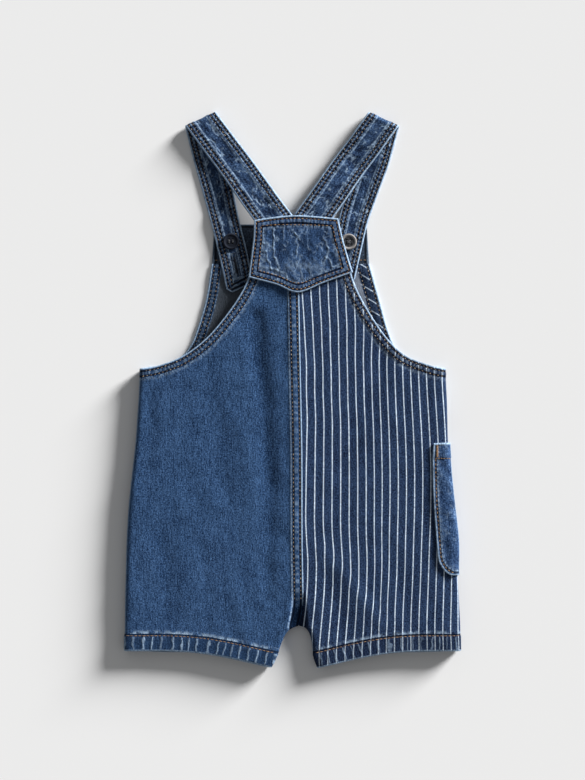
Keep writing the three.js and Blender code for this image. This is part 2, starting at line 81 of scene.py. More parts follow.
# How the flat garment lies
SEAM_HEIGHT = 5.2  # side seams and inseams run half way up the fold
ROLL = 8.0  # how far in from a seam the cloth curves
ROLL_ARC = 10.4  # length of cloth in that curve
ROLL_POWER = 3.8  # how full the curve is
ROLL_STRETCH = 0.6  # share of the drop that counts as distance across the cloth
LEG_TOP = -172.0
HEM_BOW = 4.8
FRONT_HEM_PEEK = 1.1
ARMHOLE_BLEND = 0.15
ARMHOLE_DROOP = 0.45
CROTCH_BLEND = 0.17
LIFT_MARGIN = 1.0
LIFT_RAMP = 9.0
POCKET_FRONT = 45.0
SIDE_LINE = 1.4
STRAP_RADIUS = 2.7
STRAP_SAG = 2.2
BIB_TOP = 129.2
STITCH_PITCH = 3.1
ABOVE = 0.1  # in metres, higher than any of the cloth


class Side(Enum):
    """Which half of the garment, as seen from above."""

    LEFT = "left"
    RIGHT = "right"


class Face(Enum):
    """Which layer of the garment: the back lies on the front."""

    BACK = "back"
    FRONT = "front"


class Held(Enum):
    """How a sheet of cloth lies."""

    LAID = "laid"
    FOLDED = "folded"


def mix(a: Field, b: Field, t: Field) -> Field:
    """Straight blend from a to b."""
    return a + (b - a) * t


def ease(t: Field) -> Field:
    """Smooth step of a value held between 0 and 1."""
    t = np.clip(t, 0.0, 1.0)
    return t * t * (3.0 - 2.0 * t)


def bell(t: Field) -> Field:
    """Bump of height 1 at 0 that has died away by 2 on either side."""
    return np.exp(-(t**2))


def window(value: Field, low: float, high: float, soft: float = 0.5) -> Field:
    """1 between low and high, with soft ends inside them."""
    return ease((value - low) / soft) * ease((high - value) / soft)


def grooves(away: Field, rows: tuple[float, ...], depth: float, half: float) -> Field:
    """Depth of the furrows that rows of stitches press into the cloth: a bell across each."""
    return sum(depth * bell((away - row) / half) for row in rows)


def ripple(x: Field, y: Field, length: float, seed: int, waves: int = 9) -> Field:
    """Smooth uneven field of about -1 to 1: a mean of sine waves in seeded directions.

    Args:
        x: Places across, in millimetres.
        y: Places along, in millimetres.
        length: Usual wavelength.
        seed: Seed of the directions, lengths and phases.
        waves: Number of sine waves.

    Returns:
        An array like x.
    """
    draw = np.random.default_rng(seed)
    total = 0.0
    turns, stretches = draw.uniform(0, np.pi, waves), draw.uniform(0.7, 1.5, waves)
    for turn, stretch, phase in zip(turns, stretches, draw.uniform(0, 2 * np.pi, waves)):
        way = x * np.cos(turn) + y * np.sin(turn)
        total = total + np.sin(2 * np.pi * way / (length * stretch) + phase)
    return total / np.sqrt(waves / 2.0) / 1.6


def run_length(path: np.ndarray) -> np.ndarray:
    """Length along a path up to each of its points."""
    return np.concatenate(([0.0], np.cumsum(np.linalg.norm(np.diff(path, axis=0), axis=1))))


def along_path(at: np.ndarray, run: np.ndarray, path: np.ndarray) -> np.ndarray:
    """Points of a path at lengths along it, where run is the length up to each of its own points."""
    return np.stack([np.interp(at, run, column) for column in path.T], axis=1)


def curve(keys: np.ndarray, values: np.ndarray, at: Field) -> np.ndarray:
    """Smooth curve through values at rising keys.

    Each span is a cubic whose end slopes are those of the chords over the neighbouring rows.

    Args:
        keys: Rising keys.
        values: The value at each key.
        at: Where the curve is read.

    Returns:
        Values of the curve there.
    """
    last = len(keys) - 1
    i = np.clip(np.searchsorted(keys[1:], at, side="left"), 0, last - 1)
    before, after = np.maximum(np.arange(last + 1) - 1, 0), np.minimum(np.arange(last + 1) + 1, last)
    slope = (values[after] - values[before]) / (keys[after] - keys[before])
    span = keys[i + 1] - keys[i]
    t = np.clip((at - keys[i]) / span, 0.0, 1.0)
    bend = t * (1 - t) * ((1 - t) * slope[i] - t * slope[i + 1]) * span
    return mix(values[i], values[i + 1], t * t * (3 - 2 * t)) + bend


@dataclass(frozen=True)
class Table:
    """Named columns of a pattern, a row for each section."""

    names: str
    rows: tuple

    def column(self, name: str) -> np.ndarray:
        """All values of one column."""
        return np.array([row[self.names.split().index(name)] for row in self.rows], float)

    def read(self, name: str, at: Field, key: str | None = None) -> np.ndarray:
        """Smooth curve through a column, at values of the key column or at shares of the rows."""
        values = self.column(name)
        return curve(self.column(key) if key else np.linspace(0, 1, len(values)), values, at)


@dataclass(frozen=True)
class Fold:
    """Soft ridge, or trough where the height is negative, along a line that may bow."""

    x0: float
    y0: float
    x1: float
    y1: float
    width: float
    height: float
    bow: float = 0.0

    def away(self, x: Field, y: Field) -> Field:
        """Distance from the line, whose middle is bowed sideways by bow·4t(1−t).

        Args:
            x: Places across.
            y: Places along.

        Returns:
            Distances.
        """
        run_x, run_y = self.x1 - self.x0, self.y1 - self.y0
        length = np.hypot(run_x, run_y)
        t = ((x - self.x0) * run_x + (y - self.y0) * run_y) / length**2
        held = np.clip(t, 0, 1)
        sideways = ((y - self.y0) * run_x - (x - self.x0) * run_y) / length
        return np.hypot(sideways - self.bow * 4 * held * (1 - held), (t - held) * length)

    def at(self, x: Field, y: Field) -> Field:
        """Height at places: a bell of the distance over the width."""
        return self.height * bell(self.away(x, y) / self.width)


# Side folds from the leg hem up to the underarm
SIDES = Table("y left right", (
    (-203.2, -131.2, 131.3), (-184, -131.0, 131.0), (-165, -130.8, 130.0), (-144, -130.3, 128.8),
    (-118, -129.6, 128.7), (-93, -128.2, 126.1), (-70, -125.9, 123.6), (-42, -122.8, 121.5),
    (-10, -120.5, 120.7), (16.3, -119.1, 119.3),
))
# Height of the back over the surface, from the hems to the straps
LOFT = Table("y height", (
    (-217, 9.6), (-184, 10.6), (-150, 11.0), (-60, 11.0), (16, 10.4), (60, 9.6), (90, 8.7), (137, 8.2),
))
# Inseams from the hem up to the crotch, and the centre seams from there up
INSEAMS = Table("left_x left_y right_x right_y", (
    (-16.4, -216.3, 19.4, -216.6), (-11.3, -205.4, 16.1, -206.9), (-7.9, -196.4, 14.6, -195.8),
    (-4.8, -190.0, 12.6, -189.2), (-0.8, -186.4, 9.4, -185.6), (5.1, -184.1, 5.1, -184.1),
))
CENTRE = Table("y back front", (
    (-184.1, 5.1, 5.1), (-172.4, 7.9, 4.2), (-156, 8.2, 3.5), (-117, 7.6, 2.6), (-47, 7.4, 1.4),
    (4.7, 6.4, 0.4), (42.9, 5.6, -0.4), (99.1, 4.6, -1.2), (115, 4.4, -1.4),
))
# Armholes from the underarm up
BACK_ARMHOLES = Table("left_x left_y right_x right_y", (
    (-119.1, 16.3, 119.3, 16.3), (-104.5, 19.0, 107.5, 19.1), (-85.6, 26.5, 87.6, 27.1),
    (-66.8, 40.6, 72.9, 41.1), (-49.9, 60.5, 60.0, 60.0), (-37.6, 79.7, 49.3, 79.7),
    (-29.6, 99.8, 42.6, 99.8), (-28.0, 113.5, 38.6, 113.5),
))
FRONT_ARMHOLES = Table("left_x left_y right_x right_y", (
    (-119.1, 16.3, 119.3, 16.3), (-103.4, 18.3, 105.7, 18.3), (-87.8, 25.4, 90.1, 24.6),
    (-79.6, 34.3, 80.2, 33.0), (-74.3, 46.8, 74.5, 46.0), (-67.2, 71.0, 67.7, 70.0),
    (-62.8, 98.3, 59.9, 98.3),
))
# Side pocket: how much cloth reaches round from the side seam over the back and over the front
POCKET = Table("y back front", (
    (-144.3, 6.5, 33), (-142.8, 9.5, 39), (-139, 13.2, 42.5), (-132, 17.0, 45), (-118, 18.5, 45),
    (-99, 18.0, 45), (-76, 16.8, 45), (-54.4, 15.2, 45), (-53.6, 15.1, 45), (-41.6, 13.6, 45),
))
# Shield patch: left and right edges from the bottom up, then bottom and top edges from left to right
PATCH_SIDES = Table("left_x left_y right_x right_y", (
    (-33.9, 88.1, 46.6, 92.0), (-31.5, 107.0, 43.4, 102.0), (-30.0, 119.4, 39.1, 117.0),
    (-29.6, 132.2, 35.3, 133.4),
))
PATCH_ENDS = Table("low_x low_y top_x top_y", (
    (-33.9, 88.1, -29.6, 132.2), (-13, 82.6, -13.7, 134.6), (4.4, 76.4, 2.5, 135.9),
    (24, 83.8, 19, 135.0), (46.6, 92.0, 35.3, 133.4),
))
# Middle line and width of each strap, from the patch to the fold and from the fold to the button
STRAP_LEFT_BACK = Table("x y width", (
    (-11.8, 130.0, 26.4), (-26.0, 149.2, 26.2), (-42.0, 172.0, 25.8), (-56.5, 191.2, 25.5),
))
STRAP_LEFT_FRONT = Table("x y width", (
    (-66.4, 187.2, 24.6), (-59.4, 159.9, 23.4), (-51.9, 128.7, 21.6), (-45.6, 103.0, 21.8),
    (-40.7, 79.5, 21.6),
))
STRAP_RIGHT_BACK = Table("x y width", (
    (14.0, 132.2, 26.2), (27.4, 151.0, 26.0), (43.0, 173.4, 25.7), (57.2, 192.3, 25.5),
))
STRAP_RIGHT_FRONT = Table("x y width", (
    (64.6, 184.3, 24.6), (55.6, 157.6, 23.4), (48.4, 136.0, 22.6), (43.8, 116.0, 22.2),
    (37.4, 87.0, 22.0),
))

# Where the pinstripes run: the first one beside the seam, the distance to the next, how far the
# middle ones bow to the side, and how far the outer ones are drawn in
STRIPES = Table("y first pitch bulge tuck", (
    (-217, 7.4, 6.47, 1.5, 0.4), (-202.8, 7.4, 6.47, 1.7, 0.7), (-185.6, 8.4, 6.44, 2.1, 1.6),
    (-148.2, 11.9, 6.30, 2.1, 2.2), (-93.6, 10.4, 6.47, 1.8, 1.1), (-46.8, 11.1, 6.43, 1.2, 0.8),
    (15.6, 10.8, 6.24, 1.0, 0.6), (58.5, 8.8, 6.59, 0.7, 0.3), (120, 4.8, 6.6, 0.6, 0.0),
))
STRIPED_WIDTH = 128.0
FACING_PITCH = 6.7
TUCK_FROM = 58.0
TUCK_RUN = 20.0

# Raised diagonal on the striped leg, over which the stripes bend
DIAGONAL = Fold(20, -120, 72, -183, 6, 1.0)

# Low place between the legs, where the lapped seam sinks behind the two inner leg folds; the cloth's colour
# is darkened there as painted shade
DIP = Table("y depth left right", (
    (-196, 5.0, -5.2, 13.2), (-186, 5.0, -3.6, 12.4), (-176, 4.4, -2.0, 11.4), (-166, 2.4, -1.0, 10.8),
    (-156, 0.0, -0.6, 10.6), (-146, 0.0, -0.6, 10.6),
))
DIP_WALLS = (1.8, 3.0)

# Largest soft troughs and ridges of the back
FOLDS = tuple(Fold(*row) for row in (
    (-28, 56, -17.5, -71, 7, -2.0), (-17.5, -81, -19, -160, 6, -1.0), (-68, 18, -50, -80, 9, -0.8),
    (-100, -112, -97, -176, 9, -0.9), (-111, 0, -113, -60, 6, -0.6), (73, 25, 40, -62, 9, -0.8),
    (20, -120, 72, -183, 6, 0.55), (28, -150, 44, -190, 9, -1.0), (4, 90, 6, -110, 8, 0.7),
))

# Smaller creases that only this finer cloth has
CREASES = tuple(Fold(*row) for row in (
    (-44, 62, -30, 20, 4.5, -0.45, 3), (-86, 22, -78, -30, 5.0, -0.40, -3),
    (-38, -40, -34, -110, 6.0, 0.35, 4), (-72, -120, -66, -196, 5.0, -0.35, 3),
    (-44, -150, -34, -200, 4.5, 0.35, -2), (-8, -168, -16, -196, 3.5, -0.50, 1),
    (92, 22, 84, -20, 5.0, -0.35, 3), (108, 8, 104, -36, 4.5, -0.35, -2),
    (52, -96, 92, -128, 5.0, 0.30, 3), (84, -140, 100, -200, 5.0, -0.30, -3),
    (24, 66, 26, 10, 5.0, 0.30, 2), (112, -150, 118, -196, 5.0, 0.30, 1),
))


def back_relief(x: Field, y: Field) -> Field:
    """Sum of the folds and creases of the back, with a low uneven field that fades under the patch.

    Args:
        x: Places across.
        y: Places along.

    Returns:
        Heights, below 0 in a trough.
    """
    total = sum(fold.at(x, y) for fold in FOLDS)
    fine = sum(fold.at(x, y) for fold in CREASES)
    fine = fine + 0.17 * ripple(x, y, 24, 3) + 0.05 * ripple(x, y, 8, 4)
    depth, left, right = (DIP.read(name, y, "y") for name in ("depth", "left", "right"))
    dip = depth * ease((x - left) / DIP_WALLS[0]) * ease((right - x) / DIP_WALLS[1])
    return total + fine * ease((84 - y) / 14) - dip


def back_height(x: Field, y: Field) -> Field:
    """Height of the back over the surface: the loft along the garment, and its relief."""
    return LOFT.read("height", y, "y") + back_relief(x, y)


def nearest(x: Field, y: Field, path: np.ndarray) -> tuple[np.ndarray, np.ndarray]:
    """Arc position and distance, in plan, of the nearest point of a path.

    Args:
        x: Places across.
        y: Places along.
        path: Corners of the path, one row each.

    Returns:
        Two arrays like x: length along the path, and distance from it.
    """
    start, run = path[:-1, :2], np.diff(path[:, :2], axis=0)
    length = np.maximum(np.hypot(run[:, 0], run[:, 1]), 1e-9)
    along = np.concatenate(([0.0], np.cumsum(length)[:-1]))
    best, place = np.full(np.shape(x), np.inf), np.zeros(np.shape(x))
    for origin, step, size, so_far in zip(start, run, length, along):
        t = np.clip(((x - origin[0]) * step[0] + (y - origin[1]) * step[1]) / size**2, 0, 1)
        away = np.hypot(x - origin[0] - t * step[0], y - origin[1] - t * step[1])
        closer = away < best
        best = np.where(closer, away, best)
        place = np.where(closer, so_far + t * size, place)
    return place, best


def rung_phase(along: Field, away: Field, pitch: float, seed: int) -> np.ndarray:
    """Count of the puckers passed along a sewn edge: their spacing wanders and they are crooked.

    Args:
        along: Places along the edge.
        away: Distances in from it.
        pitch: Usual distance between puckers.
        seed: Seed of the unevenness.

    Returns:
        Counts, half past a whole number on each ridge.
    """
    wander = 0.42 * ripple(along, 0 * along, 4.2 * pitch, seed)
    slant = 0.014 * ripple(along, 0 * along, 7.0 * pitch, seed + 1)
    crooked = 0.50 / pitch * ripple(along, away, 6.0, seed + 2)
    return along / pitch + wander + slant * away + crooked


def rung(phase: Field, width: float = 0.16) -> Field:
    """1 on each pucker's ridge, where the phase is half past a whole number."""
    return bell((phase - np.floor(phase) - 0.5) / width)


def edge_marks(x: Field, y: Field, path: np.ndarray, pitch: float, seed: int) -> np.ndarray:
    """Marks of a sewn edge at each place: pucker phase, distance in from it, and length along it."""
    along, away = nearest(x, y, path)
    return np.stack([rung_phase(along, away, pitch, seed), away, along], axis=-1)


def inset(path: np.ndarray, distance: float, inside: tuple[float, float]) -> np.ndarray:
    """Path moved sideways in plan, to the side on which a place lies.

    Args:
        path: Points of the path.
        distance: How far it moves.
        inside: A place on the side that it moves to.

    Returns:
        Plan points of the moved path.
    """
    flat = path[:, :2]
    run = np.gradient(flat, axis=0)
    run = run / np.maximum(np.linalg.norm(run, axis=1, keepdims=True), 1e-9)
    side = np.stack([-run[:, 1], run[:, 0]], axis=1)
    middle = len(flat) // 2
    facing = np.sign(np.dot(side[middle], np.array(inside) - flat[middle]))
    return flat + side * facing * distance


def unit(vectors: np.ndarray) -> np.ndarray:
    """Vectors brought to length 1."""
    return vectors / np.maximum(np.linalg.norm(vectors, axis=-1, keepdims=True), 1e-12)


def new_object(
    name: str, points: np.ndarray, faces: list, marks: Marks, finish: bpy.types.Material
) -> bpy.types.Object:
    """Smooth mesh object at the origin, from points in millimetres.

    Args:
        name: Name of the piece.
        points: One row for each vertex.
        faces: Vertex numbers of each face.
        marks: Attributes, as an array of numbers or of vectors with a row for each vertex.
        finish: Its material.

    Returns:
        The object, linked to the scene.
    """
    mesh = bpy.data.meshes.new(name)
    mesh.from_pydata((points * MM).tolist(), [], faces)
    for title, values in marks.items():
        kind, key = ("FLOAT", "value") if values.ndim == 1 else ("FLOAT_VECTOR", "vector")
        mesh.attributes.new(title, kind, "POINT").data.foreach_set(key, values.astype(np.float32).ravel())
    mesh.materials.append(finish)
    mesh.shade_smooth()
    mesh.update()
    made = bpy.data.objects.new(name, mesh)
    bpy.context.scene.collection.objects.link(made)
    return made


def wall(
    name: str, outer: np.ndarray, inner: np.ndarray, marks: Marks, finish: bpy.types.Material
) -> bpy.types.Object:
    """Closes two grids of points into one wall of cloth with rounded rims.

    The rim has one more line of points, half way between the grids and pushed out by a third
    of the wall, so that the edge of the cloth is round.

    Args:
        name: Name of the piece.
        outer: Points of the outer face, (rows, columns, 3).
        inner: Points of the inner face.
        marks: Attributes of the grid, (rows, columns, 3), that both faces take.
        finish: Its material.

    Returns:
        The object, with an attribute that is 1 on the inner face.
    """
    rows, cols = outer.shape[:2]
    i, j = np.arange(rows), np.arange(cols)
    loop_i = np.concatenate([0 * j[:-1], i[:-1], 0 * j[:-1] + rows - 1, i[:0:-1]])
    loop_j = np.concatenate([j[:-1], 0 * i[:-1] + cols - 1, j[:0:-1], 0 * i[:-1]])
    away = unit(outer[loop_i, loop_j] - outer[np.clip(loop_i, 1, rows - 2), np.clip(loop_j, 1, cols - 2)])
    across = outer[loop_i, loop_j] - inner[loop_i, loop_j]
    middle = inner[loop_i, loop_j] + across / 2 + away * np.linalg.norm(across, axis=1, keepdims=True) * 0.3
    number = np.arange(rows * cols).reshape(rows, cols)
    quads = np.stack([number[:-1, :-1], number[:-1, 1:], number[1:, 1:], number[1:, :-1]], -1).reshape(-1, 4)
    out_ring = number[loop_i, loop_j]
    in_ring, mid_ring = out_ring + rows * cols, 2 * rows * cols + np.arange(len(loop_i))
    out_next, mid_next, in_next = (np.roll(ring, -1) for ring in (out_ring, mid_ring, in_ring))
    faces = np.concatenate([
        quads,
        quads[:, ::-1] + rows * cols,
        np.stack([out_next, out_ring, mid_ring, mid_next], -1),
        np.stack([mid_next, mid_ring, in_ring, in_next], -1),
    ])
    points = np.concatenate([outer.reshape(-1, 3), inner.reshape(-1, 3), middle])
    a, b, c, d = (points[faces[:, k]] for k in range(4))
    volume = np.einsum("ij,ij->", a, np.cross(b, c)) + np.einsum("ij,ij->", a, np.cross(c, d))
    if volume < 0:
        faces = faces[:, ::-1]
    spread = {}
    for key, values in marks.items():
        flat = values.reshape(-1, 3)
        spread[key] = np.concatenate([flat, flat, values[loop_i, loop_j]])
    spread["inside"] = np.concatenate([np.zeros(rows * cols), np.ones(rows * cols), np.zeros(len(loop_i))])
    return new_object(name, points, faces.tolist(), spread, finish)


def cloth_area(grid: np.ndarray) -> float:
    """Area of a sheet, as the sum of its cells, each of two triangles.

    Args:
        grid: Points of the sheet, (rows, columns, 3).

    Returns:
        Area in square metres.
    """
    a, b, c, d = grid[:-1, :-1], grid[:-1, 1:], grid[1:, 1:], grid[1:, :-1]
    first = np.linalg.norm(np.cross(b - a, c - a), axis=-1)
    second = np.linalg.norm(np.cross(c - a, d - a), axis=-1)
    return float((first + second).sum() / 2) * MM**2


class Wire:
    """One socket of a node tree. Arithmetic on it adds the Math nodes."""

    def __init__(self, shop: "Shop", socket: bpy.types.NodeSocket) -> None:
        """Keeps the socket and the shop that makes its nodes."""
        self.shop = shop
        self.socket = socket

    def math(self, operation: str, *others: "Wire | float") -> "Wire":
        """This value and others through one Math node."""
        values = {0: self, **dict(enumerate(others, 1))}
        return self.shop.node("ShaderNodeMath", {"operation": operation}, values)

    def __add__(self, other: "Wire | float") -> "Wire":
        """Sum."""
        return self.math("ADD", other)

    __radd__ = __add__

    def __sub__(self, other: "Wire | float") -> "Wire":
        """Difference."""
        return self.math("SUBTRACT", other)

    def __rsub__(self, other: float) -> "Wire":
        """Difference from a number."""
        return self.math("MULTIPLY", -1.0) + other

    def __mul__(self, other: "Wire | float") -> "Wire":
        """Product."""
        return self.math("MULTIPLY", other)

    __rmul__ = __mul__

    def __truediv__(self, other: "Wire | float") -> "Wire":
        """Quotient."""
        return self.math("DIVIDE", other)

    def __abs__(self) -> "Wire":
        """Size without its sign."""
        return self.math("ABSOLUTE")

    def held(self) -> "Wire":
        """The value kept between 0 and 1."""
        return self.math("MAXIMUM", 0.0).math("MINIMUM", 1.0)

    def step(self, low: float, high: float) -> "Wire":
        """Smooth step from 0 at low to 1 at high, or down where low is above high.

        Args:
            low: Value at which the step is 0.
            high: Value at which it is 1.

        Returns:
            The step.
        """
        kind = {"interpolation_type": "SMOOTHSTEP"}
        if low < high:
            values = {"Value": self, "From Min": low, "From Max": high}
            return self.shop.node("ShaderNodeMapRange", kind, values)
        return 1.0 - self.step(high, low)

    def line(self, centre: float, half: float, soft: float = 0.35) -> "Wire":
        """1 within half of the centre, fading out over soft."""
        return abs(self - centre).step(half + soft, half)

    def between(self, low: float, high: float, soft: float = 0.5) -> "Wire":
        """1 from low to high with soft ends."""
        return self.step(low, low + soft) * self.step(high, high - soft)


class Shop:
    """Makes the nodes of one material."""

    def __init__(self, name: str) -> None:
        """Opens a new material with an empty tree.

        Args:
            name: Name of the material.
        """
        self.material = bpy.data.materials.new(name)
        self.material.use_nodes = True
        self.tree = self.material.node_tree
        self.tree.nodes.clear()

    def node(
        self, kind: str, settings: dict | None = None, values: dict | None = None, output: int | str = 0
    ) -> Wire:
        """Adds one node.

        Args:
            kind: Its type.
            settings: Its own properties, set first.
            values: Numbers, colours or wires for its sockets, by name or number.
            output: Which output to give back.

        Returns:
            A wire from that output.
        """
        made = self.tree.nodes.new(kind)
        for key, value in (settings or {}).items():
            setattr(made, key, value)
        for key, value in (values or {}).items():
            if isinstance(value, Wire):
                self.tree.links.new(value.socket, made.inputs[key])
            else:
                made.inputs[key].default_value = value
        return Wire(self, made.outputs[output])

    def attribute(self, name: str) -> tuple[Wire, Wire, Wire]:
        """The three numbers of a vector attribute."""
        vector = self.node("ShaderNodeAttribute", {"attribute_name": name}, output="Vector")
        return self.parts(vector)

    def number(self, name: str) -> Wire:
        """A number attribute."""
        return self.node("ShaderNodeAttribute", {"attribute_name": name}, output="Fac")

    def parts(self, vector: Wire) -> tuple[Wire, Wire, Wire]:
        """X, Y and Z of a vector."""
        split = self.node("ShaderNodeSeparateXYZ", {}, {0: vector}).socket.node
        return tuple(Wire(self, socket) for socket in split.outputs)

    def vector(self, x: Wire | float, y: Wire | float, z: Wire | float = 0.0) -> Wire:
        """A vector from three values."""
        return self.node("ShaderNodeCombineXYZ", {}, {0: x, 1: y, 2: z})

    def noise(self, vector: Wire, detail: float = 2.0, rough: float = 0.55) -> Wire:
        """Noise about 0, near -1 to 1, with features one unit of the vector across."""
        values = {"Vector": vector, "Scale": 1.0, "Detail": detail, "Roughness": rough}
        return (self.node("ShaderNodeTexNoise", {}, values, "Fac") - 0.5) * 3.2

    def mix(self, share: Wire | float, first: Wire | Colour, second: Wire | Colour) -> Wire:
        """Blend of two colours.

        Args:
            share: Share of the second colour.
            first: Colour at 0.
            second: Colour at 1.

        Returns:
            The blend.
        """
        made = self.tree.nodes.new("ShaderNodeMix")
        made.data_type = "RGBA"
        made.clamp_factor = True
        for key, value in ((0, share), (6, first), (7, second)):
            if isinstance(value, Wire):
                self.tree.links.new(value.socket, made.inputs[key])
            else:
                made.inputs[key].default_value = value if key == 0 else (*value, 1.0)
        return Wire(self, made.outputs[2])

    def finish(
        self, colour: Wire, rough: Wire | float, height: Wire | None, lift: float, settings: dict
    ) -> bpy.types.Material:
        """Closes the tree with one shader.

        Args:
            colour: Base colour.
            rough: Roughness, a number or a wire.
            height: Height of the fine relief, or None.
            lift: Length of one unit of that height, in metres.
            settings: Values that are the same all over.

        Returns:
            The material.
        """
        values = {"Base Color": colour, "Roughness": rough, **settings}
        if height is not None:
            bump = {"Height": height, "Distance": lift, "Strength": 1.0}
            values["Normal"] = self.node("ShaderNodeBump", {}, bump)
        shader = self.node("ShaderNodeBsdfPrincipled", {}, values)
        out = self.tree.nodes.new("ShaderNodeOutputMaterial")
        self.tree.links.new(shader.socket, out.inputs["Surface"])
        return self.material


@dataclass(frozen=True)
class Band:
    """How a sewn edge looks, by the distance in from it."""

    mark: str
    rows: tuple[float, ...] = ()
    edge: float = 0.8
    pale_edge: float = 0.9
    rungs: tuple[float, float] = (0.0, 0.0)
    rung_width: float = 0.14
    rung_pale: float = 0.7
    flecks: tuple[float, float] = (0.0, 0.0)
    fleck_pale: float = 0.5
    ridge: float = 0.0
    depth: float = 0.0
    dye: float = 0.3
    # strength of the painted shade in the furrow of each stitch row
    shaded_groove: float = 0.85


class Cloth(Enum):
    """Which cloth a denim finish is woven as."""

    PLAIN = "plain"
    PINSTRIPE = "pinstripe"


